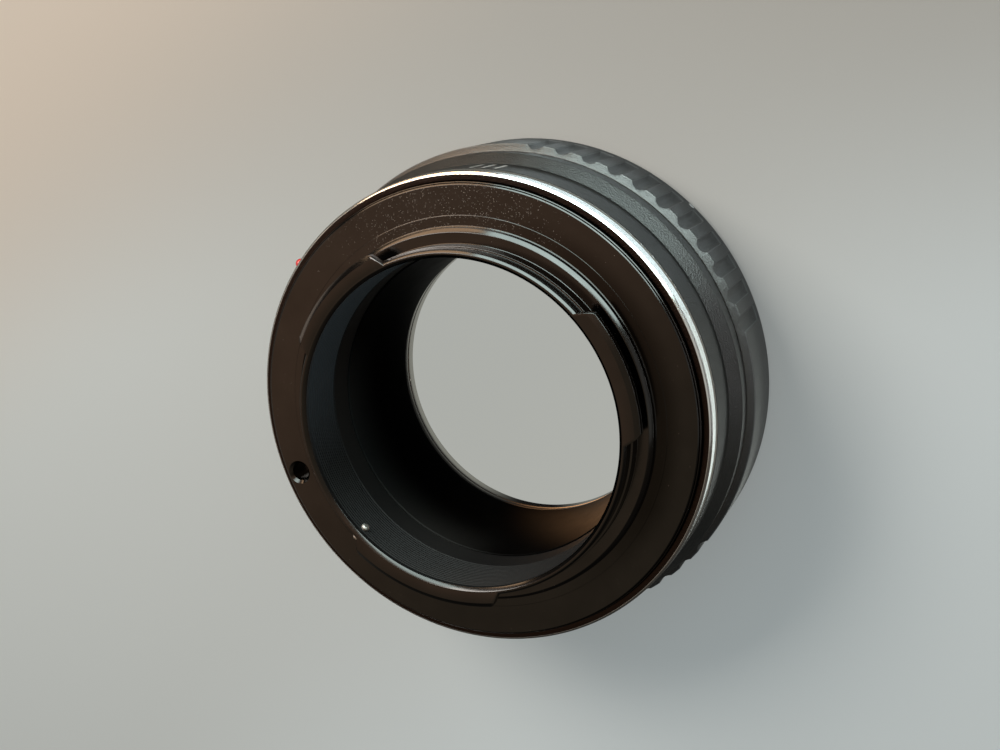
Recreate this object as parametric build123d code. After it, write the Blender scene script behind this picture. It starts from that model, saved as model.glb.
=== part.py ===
from build123d import *
import math
import os

# Lens mount adapter: a turned barrel with a male bayonet for the camera at the top, a plate with
# three outward lugs for the lens at the bottom, and a fluted lock ring that turns between them.
# Millimetres. Z is the optical axis, z = 0 is the lens seat that the adapter stands on, and +Z
# points to the camera. Angles are counted from +X, anticlockwise when seen from the camera side.

# Overall lengths along the axis
REGISTER_GAP = 24.0            # lens seat to camera flange face
BAYONET_RISE = 5.0             # camera flange face to the front of the bayonet tube

# General clearances
SEAT_CLEARANCE = 0.05          # radial play where one fixed piece drops into another
RUNNING_CLEARANCE = 0.05       # radial play of the lock ring on its sleeve
MOVING_CLEARANCE = 0.3         # room round parts that swing past each other
FACE_GAP = 0.15                # gap between the lock ring and the collar above it
BUTT_GAP = 0.05                # gap between parts that meet end to end
PAST = 1.0                     # cutters run this far past the faces they open

# Camera bayonet plate, built up from the light path outwards
CAMERA_BORE_R = 20.5
BORE_CHAMFER = 0.4
TUBE_WALL = 1.15
BOSS_STEP = 1.85               # boss stands this much outside the bayonet tube
BOSS_RISE = 1.4
BOSS_CHAMFER = 0.2
RELIEF_WIDTH = 0.38            # turned groove round the foot of the boss
RELIEF_DEPTH = 0.3
FLANGE_WIDTH = 5.3             # flange reaches this far out from the boss
FLANGE_THICK = 2.6
FLANGE_CHAMFER = 0.32
SPIGOT_WALL = 0.9             # spigot that centres the plate in the barrel
SPIGOT_TAIL = 1.0              # length of it that shows behind the web
TAB_REACH = 1.4                # tabs stand this far out of the tube
TAB_SLOPE_WIDTH = 0.65         # sloped edge at the front of a tab
TAB_SLOPE_DROP = 0.43
TAB_THICK = 1.25
TAB_CORNER_R = 0.5
TAB_FLANK_ANGLE = 3.8          # degrees that each tab flank leans in
TAB_ANGLES = ((109.2, 155.1), (-5.6, 40.2), (223.6, 280.2))

# Lock-pin hole in the flange
LOCK_HOLE_R = 1.25
LOCK_HOLE_DEPTH = 2.0
LOCK_HOLE_CHAMFER = 0.15
LOCK_HOLE_INSET = 1.83         # its axis lies this far inside the flange's edge
LOCK_HOLE_ANGLE = 196.7

# Rotation stop pin in the bayonet tube, just under a tab
STOP_PIN_R = 0.55
STOP_PIN_REACH = 1.2           # how far it stands out of the tube
STOP_PIN_ANGLE = 223.2

# Barrel
RIM_DROP = 0.95                # rim face lies this far behind the flange face
RIM_WALL = 1.05                # wall round the flange
RIM_CHAMFER = 0.3
BRIGHT_LENGTH = 2.1            # bright turned band at the rim
BAND_RISE = 0.15               # small slope from the bright band up to the marking band
BAND_SLOPE = 0.3
COLLAR_RISE = 1.24             # collar stands this much outside the marking band
COVE_R = 1.93                  # hollow between the two
COLLAR_LENGTH = 2.5
SLEEVE_LENGTH = 4.9            # journal that the lock ring turns on
SLEEVE_WALL = 3.0
WEB_THICK = 2.6

# Bayonet screws, driven from behind through the web
BAYONET_SCREW_COUNT = 4
BAYONET_SCREW_ANGLE = 15.0
BAYONET_SCREW_R = 0.8
BAYONET_SCREW_HEAD_R = 1.35
BAYONET_SCREW_HEAD_THICK = 1.0
BAYONET_SCREW_GRIP = 1.7       # length held in the flange
SCREW_HOLE_SPARE = 0.3         # hole runs this much past the screw tip
SCREW_SLOT_WIDTH = 0.4
SCREW_SLOT_DEPTH = 0.45

# Index bead near the front of the bright band
BEAD_R = 0.62
BEAD_RISE = 0.6
BEAD_MARGIN = 0.4              # its edge stays this far behind the rim face
BEAD_FOOT_GAP = 0.15           # its foot stays this far from the flange's recess
BEAD_ANGLE = 139.2

# Inner baffle tube
BAFFLE_STEP = 0.15             # its front edge stands this far inside the camera bore
BAFFLE_WALL = 0.6              # wall at its front edge
BAFFLE_TAPER = 1.05            # radius lost towards the lens

# Lock ring
RING_OVERHANG = 0.86           # ring stands this far outside the collar, all of it front chamfer
RING_WALL = 3.7                # from its running bore to its grip
RING_SKIRT = 2.15              # wall of the skirt round the lens plate
RING_SEAT_GAP = 0.3            # its far face stays this far from the lens seat plane
RING_BACK_CHAMFER = 0.45
RING_TRAVEL_ANGLE = 40.0       # degrees from open to locked

# Flutes of the lock ring
FLUTE_GROUPS = 3
FLUTES_IN_GROUP = 11
FLUTE_PITCH_ANGLE = 6.44
FLUTE_GROUP_ANGLE = 47.0       # middle of the first group
FLUTE_CUTTER_R = 1.4
FLUTE_DEPTH = 0.5
FLUTE_RUNOUT = 1.45            # length over which a flute's floor comes out to the surface
PLAIN_EDGE = 1.55              # unfluted edge at the lens end

# Friction washer under the lock ring
WASHER_THICK = 0.4
WASHER_GAP = 0.05

# Lens mount plate
PLATE_HEIGHT = 5.6
BASE_THICK = 1.2
BASE_CLEARANCE = 0.4           # room between the base and the skirt of the lock ring
LUG_SETBACK = 2.7              # lugs end this far inside the base's edge
LUG_REACH = 2.4                # lugs stand this far out of the neck
LUG_THICK = 1.6
LUG_COUNT = 3
LUG_SPAN_ANGLE = 60.0
LUG_FIRST_ANGLE = 30.0
LUG_CHAMFER = 0.25
THROAT_STEP = 0.2              # throat stands this much outside the end of the baffle
THROAT_LENGTH = 3.0            # bright throat between the baffle and the lens seat
THROAT_CHAMFER = 0.2
WINDOW_INNER_WALL = 0.9        # walls left on both sides of the lever window
WINDOW_OUTER_WALL = 0.8
INDEX_HOLE_R = 0.8
INDEX_HOLE_DEPTH = 2.0

# Lens plate screws, one in each gap between lugs
LENS_SCREW_R = 0.75
LENS_SCREW_HEAD_R = 1.3
LENS_SCREW_GRIP = 2.6          # length held in the barrel

# Drive lever and the grub screw that carries it
DRIVE_ANGLE = 232.0
DRIVE_SCREW_R = 1.0
DRIVE_SCREW_SINK = 0.4         # outer end lies this far under the ring's surface
DRIVE_SCREW_BITE = 2.0         # length held in the lever
DRIVE_SOCKET_R = 0.5
DRIVE_SOCKET_DEPTH = 1.0
LEVER_WALL_GAP = 0.5           # radial room between the lever and the cavity walls
LEVER_HEIGHT = 3.0
LEVER_SPAN_ANGLE = 18.0
FINGER_SPAN_ANGLE = 6.0
FINGER_SETBACK = 2.0           # finger's tip stays this far behind the lens seat


def height(depth):
    """Height above the lens seat of a plane at a depth behind the camera flange face."""
    return REGISTER_GAP - depth


def turned(*edges):
    """Solid of revolution about the optical axis from the edges of a closed half section."""
    return revolve(make_face(Wire(edges)), Axis.Z, 360)


def turned_points(points):
    """Solid of revolution from the corners (radius, height) of a straight-sided half section."""
    return turned(*Polyline(*[(r, 0, z) for r, z in points], close=True).edges())


def tube(inner_r, outer_r, low, high):
    """Plain ring between two radii and two heights."""
    return turned_points([(inner_r, low), (outer_r, low), (outer_r, high), (inner_r, high)])


def spoke(radius, inner, outer, angle, z):
    """Cylinder that points out from the axis, between two distances from it."""
    bar = Pos(inner, 0, z) * Rot(0, 90, 0) * Cylinder(radius, outer - inner, align=BOTTOM)
    return Rot(0, 0, angle) * bar


def sector(inner_r, outer_r, start, end, low, high):
    """Block between two radii, two angles and two heights."""
    ring = tube(inner_r, outer_r, low, high)
    reach = 2 * outer_r
    middle = (start + end) / 2
    half = math.radians(end - start) / 2
    side = reach * math.tan(half)
    wedge = make_face(Polyline((0, 0), (reach, -side), (reach, side), close=True))
    return ring & (Rot(0, 0, middle) * Pos(0, 0, low) * extrude(wedge, high - low))


def on_circle(circle_r, angle, z):
    """Location on a circle about the optical axis, turned to face outwards."""
    return Rot(0, 0, angle) * Pos(circle_r, 0, z)


def countersink(top_r, foot_r, depth):
    """Cone that is widest at z = 0 and narrows downwards."""
    return Pos(0, 0, -depth) * Cone(foot_r, top_r, depth, align=BOTTOM)


BOTTOM = (Align.CENTER, Align.CENTER, Align.MIN)
TOP = (Align.CENTER, Align.CENTER, Align.MAX)

# Radii worked out from the walls and steps above
TUBE_R = CAMERA_BORE_R + TUBE_WALL
BOSS_R = TUBE_R + BOSS_STEP
FLANGE_R = BOSS_R + FLANGE_WIDTH
SPIGOT_R = CAMERA_BORE_R + SPIGOT_WALL
TAB_R = TUBE_R + TAB_REACH
LOCK_HOLE_CIRCLE_R = FLANGE_R - LOCK_HOLE_INSET
RECESS_R = FLANGE_R + SEAT_CLEARANCE
RIM_R = RECESS_R + RIM_WALL
BAND_R = RIM_R + BAND_RISE
COLLAR_R = BAND_R + COLLAR_RISE
RING_R = COLLAR_R + RING_OVERHANG
RING_BORE_R = RING_R - RING_WALL
SLEEVE_R = RING_BORE_R - RUNNING_CLEARANCE
CAVITY_R = SLEEVE_R - SLEEVE_WALL
RING_SKIRT_R = RING_R - RING_SKIRT
BASE_R = RING_SKIRT_R - BASE_CLEARANCE
LUG_R = BASE_R - LUG_SETBACK
NECK_R = LUG_R - LUG_REACH
BAFFLE_FRONT_R = CAMERA_BORE_R - BAFFLE_STEP
BAFFLE_OUTER_R = BAFFLE_FRONT_R + BAFFLE_WALL
BAFFLE_BACK_R = BAFFLE_FRONT_R - BAFFLE_TAPER
BAFFLE_SEAT_R = BAFFLE_OUTER_R + SEAT_CLEARANCE
THROAT_R = BAFFLE_BACK_R + THROAT_STEP
WINDOW_INNER_R = BAFFLE_SEAT_R + WINDOW_INNER_WALL
WINDOW_OUTER_R = NECK_R - WINDOW_OUTER_WALL
FINGER_INNER_R = WINDOW_INNER_R + MOVING_CLEARANCE
FINGER_OUTER_R = WINDOW_OUTER_R - MOVING_CLEARANCE
LEVER_INNER_R = BAFFLE_OUTER_R + LEVER_WALL_GAP
LEVER_OUTER_R = CAVITY_R - LEVER_WALL_GAP
INDEX_HOLE_CIRCLE_R = (WINDOW_INNER_R + WINDOW_OUTER_R) / 2
BAYONET_SCREW_CIRCLE_R = (SPIGOT_R + CAVITY_R) / 2
LENS_SCREW_CIRCLE_R = (SLEEVE_R + CAVITY_R) / 2

# Depths behind the camera flange face, worked out in the same way
TUBE_TOP = height(-BAYONET_RISE)
WEB_BACK = FLANGE_THICK + WEB_THICK
SPIGOT_END = WEB_BACK + SPIGOT_TAIL
BRIGHT_END = RIM_DROP + BRIGHT_LENGTH
BEAD_DEPTH = RIM_DROP + BEAD_MARGIN + BEAD_R
SLEEVE_END = REGISTER_GAP - PLATE_HEIGHT
COLLAR_END = SLEEVE_END - SLEEVE_LENGTH
COLLAR_FRONT = COLLAR_END - COLLAR_LENGTH
COVE_SWEEP = math.acos(1 - COLLAR_RISE / COVE_R)
BAND_END = COLLAR_FRONT - COVE_R * math.sin(COVE_SWEEP)
RING_FRONT = COLLAR_END + FACE_GAP
RING_END = REGISTER_GAP - RING_SEAT_GAP
RING_SHOULDER = SLEEVE_END - WASHER_THICK - 2 * WASHER_GAP
NECK_FRONT = SLEEVE_END + BASE_THICK
THROAT_FRONT = REGISTER_GAP - THROAT_LENGTH
DRIVE_DEPTH = (RING_FRONT + RING_SHOULDER) / 2
FINGER_TIP = REGISTER_GAP - FINGER_SETBACK
STOP_PIN_RISE = BAYONET_RISE - TAB_THICK - STOP_PIN_R - SEAT_CLEARANCE

# Angles and counts
SLOT_R = DRIVE_SCREW_R + MOVING_CLEARANCE
FINGER_MARGIN_ANGLE = math.degrees(MOVING_CLEARANCE / WINDOW_INNER_R) + FINGER_SPAN_ANGLE / 2
BAYONET_SCREW_ANGLES = [
    BAYONET_SCREW_ANGLE + i * 360 / BAYONET_SCREW_COUNT for i in range(BAYONET_SCREW_COUNT)
]
LUG_ANGLES = [LUG_FIRST_ANGLE + i * 360 / LUG_COUNT for i in range(LUG_COUNT)]
LENS_SCREW_ANGLES = [lug + 180 / LUG_COUNT for lug in LUG_ANGLES]
FLUTE_ANGLES = [
    FLUTE_GROUP_ANGLE + group * 360 / FLUTE_GROUPS + (i - (FLUTES_IN_GROUP - 1) / 2) * FLUTE_PITCH_ANGLE
    for group in range(FLUTE_GROUPS)
    for i in range(FLUTES_IN_GROUP)
]


def tab_plan(start, end):
    """Outline of one bayonet tab seen from the camera, with leaning flanks and rounded corners."""
    def at(r, angle):
        return (r * math.cos(math.radians(angle)), r * math.sin(math.radians(angle)))

    root_r = (CAMERA_BORE_R + TUBE_R) / 2
    middle = (start + end) / 2
    lean = TAB_FLANK_ANGLE
    corners = [at(root_r, start), at(TAB_R, start + lean), at(TAB_R, end - lean), at(root_r, end)]
    outline = make_face(
        Wire([
            Line(corners[0], corners[1]),
            ThreePointArc(corners[1], at(TAB_R, middle), corners[2]),
            Line(corners[2], corners[3]),
            ThreePointArc(corners[3], at(root_r, middle), corners[0]),
        ])
    )
    outer = outline.vertices().filter_by(lambda v: Vector(v.X, v.Y).length > TUBE_R)
    return fillet(outer, TAB_CORNER_R)


def bayonet_plate():
    """Camera flange with its boss, bayonet tube, three tabs and the spigot below."""
    body = turned_points([
        (CAMERA_BORE_R, height(SPIGOT_END)),
        (SPIGOT_R, height(SPIGOT_END)),
        (SPIGOT_R, height(FLANGE_THICK)),
        (FLANGE_R, height(FLANGE_THICK)),
        (FLANGE_R, height(FLANGE_CHAMFER)),
        (FLANGE_R - FLANGE_CHAMFER, height(0)),
        (BOSS_R + RELIEF_WIDTH, height(0)),
        (BOSS_R + RELIEF_WIDTH / 2, height(RELIEF_DEPTH)),
        (BOSS_R, height(0)),
        (BOSS_R, height(BOSS_CHAMFER - BOSS_RISE)),
        (BOSS_R - BOSS_CHAMFER, height(-BOSS_RISE)),
        (TUBE_R, height(-BOSS_RISE)),
        (TUBE_R, TUBE_TOP),
        (CAMERA_BORE_R + BORE_CHAMFER, TUBE_TOP),
        (CAMERA_BORE_R, TUBE_TOP - BORE_CHAMFER),
    ])
    wall_middle = (CAMERA_BORE_R + BORE_CHAMFER + TUBE_R) / 2
    tab_ring = turned_points([
        (wall_middle, TUBE_TOP - TAB_THICK),
        (TAB_R, TUBE_TOP - TAB_THICK),
        (TAB_R, TUBE_TOP - TAB_SLOPE_DROP),
        (TAB_R - TAB_SLOPE_WIDTH, TUBE_TOP),
        (wall_middle, TUBE_TOP),
    ])
    for start, end in TAB_ANGLES:
        prism = Pos(0, 0, TUBE_TOP - TAB_THICK) * extrude(tab_plan(start, end), TAB_THICK)
        body += tab_ring & prism
    lock_hole = Cylinder(LOCK_HOLE_R, LOCK_HOLE_DEPTH, align=TOP)
    lock_hole += countersink(LOCK_HOLE_R + LOCK_HOLE_CHAMFER, LOCK_HOLE_R, LOCK_HOLE_CHAMFER)
    body -= on_circle(LOCK_HOLE_CIRCLE_R, LOCK_HOLE_ANGLE, height(0)) * lock_hole
    body -= spoke(STOP_PIN_R, CAMERA_BORE_R - PAST, TAB_R + PAST, STOP_PIN_ANGLE, height(-STOP_PIN_RISE))
    tapped = Cylinder(BAYONET_SCREW_R, BAYONET_SCREW_GRIP + SCREW_HOLE_SPARE, align=BOTTOM)
    for angle in BAYONET_SCREW_ANGLES:
        body -= on_circle(BAYONET_SCREW_CIRCLE_R, angle, height(FLANGE_THICK)) * tapped
    return body


def stop_pin():
    """Round pin pressed through the bayonet tube, flush inside and proud outside."""
    inner = math.sqrt((CAMERA_BORE_R + SEAT_CLEARANCE) ** 2 - STOP_PIN_R ** 2)
    return spoke(STOP_PIN_R, inner, TUBE_R + STOP_PIN_REACH, STOP_PIN_ANGLE, height(-STOP_PIN_RISE))


def slotted_screw(radius, length, head_r, head, slot_depth):
    """Screw with its head's top at z = 0, pointing down, with a driver slot."""
    screw = head + Cylinder(radius, length, align=TOP)
    slot = Box(2 * head_r + PAST, SCREW_SLOT_WIDTH, 2 * slot_depth)
    return screw - slot


def bayonet_screws():
    """Screws that hold the bayonet plate, their heads on the back of the web."""
    head = Cylinder(BAYONET_SCREW_HEAD_R, BAYONET_SCREW_HEAD_THICK, align=TOP)
    length = BAYONET_SCREW_HEAD_THICK + WEB_THICK + BAYONET_SCREW_GRIP
    screw = slotted_screw(BAYONET_SCREW_R, length, BAYONET_SCREW_HEAD_R, head, SCREW_SLOT_DEPTH)
    head_face = height(WEB_BACK + BAYONET_SCREW_HEAD_THICK)
    return [
        on_circle(BAYONET_SCREW_CIRCLE_R, angle, head_face) * Rot(180, 0, 0) * screw
        for angle in BAYONET_SCREW_ANGLES
    ]


def main_barrel():
    """Outer barrel: bright rim band, marking band, cove, collar, web and the sleeve below."""
    web_bore_r = SPIGOT_R + SEAT_CLEARANCE
    half = COVE_SWEEP / 2
    cove_middle = (BAND_R + COVE_R * (1 - math.cos(half)), 0, height(BAND_END + COVE_R * math.sin(half)))
    collar_front = height(COLLAR_FRONT)
    upper = Polyline(
        (CAVITY_R, 0, height(SLEEVE_END)),
        (CAVITY_R, 0, height(WEB_BACK)),
        (web_bore_r, 0, height(WEB_BACK)),
        (web_bore_r, 0, height(FLANGE_THICK)),
        (RECESS_R, 0, height(FLANGE_THICK)),
        (RECESS_R, 0, height(RIM_DROP)),
        (RIM_R - RIM_CHAMFER, 0, height(RIM_DROP)),
        (RIM_R, 0, height(RIM_DROP + RIM_CHAMFER)),
        (RIM_R, 0, height(BRIGHT_END)),
        (BAND_R, 0, height(BRIGHT_END + BAND_SLOPE)),
        (BAND_R, 0, height(BAND_END)),
    )
    cove = ThreePointArc((BAND_R, 0, height(BAND_END)), cove_middle, (COLLAR_R, 0, collar_front))
    lower = Polyline(
        (COLLAR_R, 0, collar_front),
        (COLLAR_R, 0, height(COLLAR_END)),
        (SLEEVE_R, 0, height(COLLAR_END)),
        (SLEEVE_R, 0, height(SLEEVE_END)),
        (CAVITY_R, 0, height(SLEEVE_END)),
    )
    body = turned(*upper.edges(), cove, *lower.edges())
    for angle in BAYONET_SCREW_ANGLES:
        hole = Cylinder(BAYONET_SCREW_R + SEAT_CLEARANCE, WEB_THICK, align=TOP)
        body -= on_circle(BAYONET_SCREW_CIRCLE_R, angle, height(FLANGE_THICK)) * hole
    tapped = Cylinder(LENS_SCREW_R, LENS_SCREW_GRIP + SCREW_HOLE_SPARE, align=BOTTOM)
    for angle in LENS_SCREW_ANGLES:
        body -= on_circle(LENS_SCREW_CIRCLE_R, angle, height(SLEEVE_END)) * tapped
    slot_low = height(DRIVE_DEPTH + SLOT_R)
    slot_high = height(DRIVE_DEPTH - SLOT_R)
    slot_start, slot_end = DRIVE_ANGLE, DRIVE_ANGLE + RING_TRAVEL_ANGLE
    body -= sector(CAVITY_R - PAST, SLEEVE_R + PAST, slot_start, slot_end, slot_low, slot_high)
    for angle in (slot_start, slot_end):
        body -= spoke(SLOT_R, CAVITY_R - PAST, SLEEVE_R + PAST, angle, height(DRIVE_DEPTH))
    body -= spoke(BEAD_R + SEAT_CLEARANCE, RECESS_R - PAST, RIM_R + PAST, BEAD_ANGLE, height(BEAD_DEPTH))
    return body


def index_bead():
    """Domed index bead set into the bright band."""
    dome_r = (BEAD_R ** 2 + BEAD_RISE ** 2) / (2 * BEAD_RISE)
    dome = Sphere(dome_r) & (Pos(0, 0, dome_r - BEAD_RISE) * Cylinder(BEAD_R, dome_r, align=BOTTOM))
    bead = Cylinder(BEAD_R, RIM_WALL - BEAD_FOOT_GAP, align=TOP) + Pos(0, 0, BEAD_RISE - dome_r) * dome
    return Rot(0, 0, BEAD_ANGLE) * Pos(RIM_R, 0, height(BEAD_DEPTH)) * Rot(0, 90, 0) * bead


def inner_baffle():
    """Matt tube that lines the light path, tapering towards the lens."""
    front = height(SPIGOT_END + BUTT_GAP)
    back = height(THROAT_FRONT)
    return turned_points([
        (BAFFLE_BACK_R, back),
        (BAFFLE_OUTER_R, back),
        (BAFFLE_OUTER_R, front),
        (BAFFLE_FRONT_R, front),
    ])


def lens_mount_plate():
    """Plate for the lens: base, neck, three outward lugs, throat and the window for the lever."""
    body = turned_points([
        (THROAT_R + THROAT_CHAMFER, 0),
        (NECK_R, 0),
        (NECK_R, height(NECK_FRONT)),
        (BASE_R, height(NECK_FRONT)),
        (BASE_R, height(SLEEVE_END)),
        (BAFFLE_SEAT_R, height(SLEEVE_END)),
        (BAFFLE_SEAT_R, height(THROAT_FRONT)),
        (THROAT_R + THROAT_CHAMFER, height(THROAT_FRONT)),
        (THROAT_R, height(THROAT_FRONT + THROAT_CHAMFER)),
        (THROAT_R, THROAT_CHAMFER),
    ])
    lug_ring = turned_points([
        ((BAFFLE_SEAT_R + NECK_R) / 2, 0),
        (LUG_R - LUG_CHAMFER, 0),
        (LUG_R, LUG_CHAMFER),
        (LUG_R, LUG_THICK),
        ((BAFFLE_SEAT_R + NECK_R) / 2, LUG_THICK),
    ])
    for angle in LUG_ANGLES:
        start, end = angle - LUG_SPAN_ANGLE / 2, angle + LUG_SPAN_ANGLE / 2
        body += lug_ring & sector(THROAT_R, LUG_R + PAST, start, end, 0, LUG_THICK)
    window_start = DRIVE_ANGLE - FINGER_MARGIN_ANGLE
    window_end = DRIVE_ANGLE + RING_TRAVEL_ANGLE + FINGER_MARGIN_ANGLE
    body -= sector(WINDOW_INNER_R, WINDOW_OUTER_R, window_start, window_end, -PAST, PLATE_HEIGHT + PAST)
    clear = Cylinder(LENS_SCREW_R + SEAT_CLEARANCE, BASE_THICK, align=BOTTOM)
    sink_r = LENS_SCREW_HEAD_R + SEAT_CLEARANCE
    sink = Cone(sink_r, LENS_SCREW_R + SEAT_CLEARANCE, LENS_SCREW_HEAD_R - LENS_SCREW_R, align=BOTTOM)
    for angle in LENS_SCREW_ANGLES:
        body -= on_circle(LENS_SCREW_CIRCLE_R, angle, height(NECK_FRONT)) * (clear + sink)
    index_hole = Cylinder(INDEX_HOLE_R, INDEX_HOLE_DEPTH, align=BOTTOM)
    body -= on_circle(INDEX_HOLE_CIRCLE_R, BEAD_ANGLE, 0) * index_hole
    return body


def lens_mount_screws():
    """Countersunk screws that hold the lens plate to the end of the barrel."""
    head = countersink(LENS_SCREW_HEAD_R, LENS_SCREW_R, LENS_SCREW_HEAD_R - LENS_SCREW_R)
    length = BASE_THICK + LENS_SCREW_GRIP
    slot_depth = SCREW_SLOT_DEPTH / 2
    screw = slotted_screw(LENS_SCREW_R, length, LENS_SCREW_HEAD_R, head, slot_depth)
    return [
        on_circle(LENS_SCREW_CIRCLE_R, angle, height(NECK_FRONT)) * Rot(180, 0, 0) * screw
        for angle in LENS_SCREW_ANGLES
    ]


def lock_ring():
    """Grip ring with groups of flutes that run out before a plain edge at the lens end."""
    body = turned_points([
        (RING_BORE_R, height(RING_FRONT)),
        (COLLAR_R, height(RING_FRONT)),
        (RING_R, height(RING_FRONT + RING_OVERHANG)),
        (RING_R, height(RING_END - RING_BACK_CHAMFER)),
        (RING_R - RING_BACK_CHAMFER, height(RING_END)),
        (RING_SKIRT_R, height(RING_END)),
        (RING_SKIRT_R, height(RING_SHOULDER)),
        (RING_BORE_R, height(RING_SHOULDER)),
    ])
    length = RING_END - RING_FRONT - PLAIN_EDGE
    cutter = Cylinder(FLUTE_CUTTER_R, length + PAST, align=BOTTOM)
    wedge = Box(4 * FLUTE_CUTTER_R, 4 * FLUTE_CUTTER_R, 2 * length, align=TOP)
    ramp_angle = math.degrees(math.atan(FLUTE_RUNOUT / FLUTE_DEPTH))
    cutter -= Pos(FLUTE_DEPTH - FLUTE_CUTTER_R, 0, 0) * Rot(0, -ramp_angle, 0) * wedge
    circle_r = RING_R - FLUTE_DEPTH + FLUTE_CUTTER_R
    body -= [on_circle(circle_r, angle, height(RING_FRONT + length)) * cutter for angle in FLUTE_ANGLES]
    return body - spoke(DRIVE_SCREW_R, RING_BORE_R - PAST, RING_R + PAST, DRIVE_ANGLE, height(DRIVE_DEPTH))


def slide_washer():
    """Thin friction washer between the lock ring and the base of the lens plate."""
    low = height(SLEEVE_END - WASHER_GAP)
    return tube(RING_BORE_R, BASE_R, low, low + WASHER_THICK)


def drive_screw():
    """Grub screw through the lock ring that carries the drive lever in the slot of the sleeve."""
    outer = RING_R - DRIVE_SCREW_SINK
    screw = spoke(DRIVE_SCREW_R, LEVER_OUTER_R - DRIVE_SCREW_BITE, outer, DRIVE_ANGLE, height(DRIVE_DEPTH))
    socket = Pos(outer, 0, height(DRIVE_DEPTH)) * Rot(0, -90, 0)
    hexagon = RegularPolygon(DRIVE_SOCKET_R, 6)
    return screw - Rot(0, 0, DRIVE_ANGLE) * socket * extrude(hexagon, DRIVE_SOCKET_DEPTH)


def drive_lever():
    """Lever behind the lens plate: a curved block on the screw with a finger in the window."""
    low = height(DRIVE_DEPTH + LEVER_HEIGHT / 2)
    high = height(DRIVE_DEPTH - LEVER_HEIGHT / 2)
    start, end = DRIVE_ANGLE - LEVER_SPAN_ANGLE / 2, DRIVE_ANGLE + LEVER_SPAN_ANGLE / 2
    body = sector(LEVER_INNER_R, LEVER_OUTER_R, start, end, low, high)
    start, end = DRIVE_ANGLE - FINGER_SPAN_ANGLE / 2, DRIVE_ANGLE + FINGER_SPAN_ANGLE / 2
    body += sector(FINGER_INNER_R, FINGER_OUTER_R, start, end, height(FINGER_TIP), low + PAST)
    bite = LEVER_OUTER_R - DRIVE_SCREW_BITE
    return body - spoke(DRIVE_SCREW_R, bite, LEVER_OUTER_R + PAST, DRIVE_ANGLE, height(DRIVE_DEPTH))


PIECES = {
    "bayonet_plate": bayonet_plate,
    "stop_pin": stop_pin,
    "bayonet_screws": bayonet_screws,
    "main_barrel": main_barrel,
    "index_bead": index_bead,
    "inner_baffle": inner_baffle,
    "lens_mount_plate": lens_mount_plate,
    "lens_mount_screws": lens_mount_screws,
    "lock_ring": lock_ring,
    "slide_washer": slide_washer,
    "drive_screw": drive_screw,
    "drive_lever": drive_lever,
}

os.makedirs("parts", exist_ok=True)
for name, build in PIECES.items():
    shape = build()
    if isinstance(shape, list):
        shape = Compound(children=shape)
    export_step(shape, f"parts/{name}.step")
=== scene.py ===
"""Dressed model of a lens mount adapter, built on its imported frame."""

import logging
import math
from dataclasses import dataclass
from enum import Enum
from typing import Any, NamedTuple, Sequence

import bpy
from mathutils import Matrix, Vector


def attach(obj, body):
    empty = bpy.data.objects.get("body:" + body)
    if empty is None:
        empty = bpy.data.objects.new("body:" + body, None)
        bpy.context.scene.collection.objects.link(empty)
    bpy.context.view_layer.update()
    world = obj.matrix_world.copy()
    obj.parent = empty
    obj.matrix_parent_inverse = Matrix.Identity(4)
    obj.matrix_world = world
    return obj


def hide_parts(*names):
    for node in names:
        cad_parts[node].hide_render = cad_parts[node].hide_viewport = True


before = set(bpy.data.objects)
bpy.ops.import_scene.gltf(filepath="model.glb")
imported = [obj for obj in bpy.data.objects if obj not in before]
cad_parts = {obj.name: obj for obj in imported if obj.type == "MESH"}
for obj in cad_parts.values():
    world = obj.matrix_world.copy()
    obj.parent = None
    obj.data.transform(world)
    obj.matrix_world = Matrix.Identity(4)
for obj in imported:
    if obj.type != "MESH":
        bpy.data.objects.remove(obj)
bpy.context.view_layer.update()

LOG = logging.getLogger("adapter")
Colour = tuple[float, float, float]
MM = 0.001
# Points closer than MERGE are one point.
MERGE = 0.0005 * MM
# A cutter reaches this far past the wall that it cuts, in millimetres, where its piece gives no other reach.
OVERCUT = 0.3
# A rounding takes at most this share of the side of a section.
ROUNDING_SHARE = 0.45
# Steps of a full turn, for the wide walls, for the round holes and for the thin pins.
WALL_STEPS = 320
HOLE_STEPS = 40
PIN_STEPS = 32


class Join(Enum):
    """What a second solid does to the first."""

    ADD = "UNION"
    CUT = "DIFFERENCE"


class Body(Enum):
    """The two bodies that pieces ride on."""

    FIXED = "adapter_body"
    RING = "ring_group"


class Corner(NamedTuple):
    """A corner of a turned section in millimetres, with the radius of its rounding."""

    r: float
    z: float
    soft: float = 0.0


class Axis(NamedTuple):
    """The line a section turns about: a point on it, its direction and the side the section starts on."""

    origin: Vector
    along: Vector
    side: Vector


def ray(angle: float) -> Vector:
    """Unit vector away from the optical axis at an angle in degrees."""
    return Vector((math.cos(math.radians(angle)), math.sin(math.radians(angle)), 0.0))


def optical(angle: float = 0.0) -> Axis:
    """The optical axis, with sections drawn at an angle in degrees."""
    return Axis(Vector((0, 0, 0)), Vector((0, 0, 1)), ray(angle))


def parallel(circle: float, angle: float) -> Axis:
    """A line parallel to the optical axis, at a radius in millimetres and an angle."""
    return Axis(ray(angle) * circle, Vector((0, 0, 1)), ray(angle))


def radial(angle: float, z: float) -> Axis:
    """A line straight out from the optical axis at an angle and a height in millimetres."""
    return Axis(Vector((0, 0, z)), ray(angle), Vector((0, 0, 1)))


def oblong(inner: float, outer: float, low: float, high: float) -> list[Corner]:
    """The section of a plain ring between two radii and two heights, or of a rod where the inner is 0."""
    return [Corner(inner, low), Corner(outer, low), Corner(outer, high), Corner(inner, high)]


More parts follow.
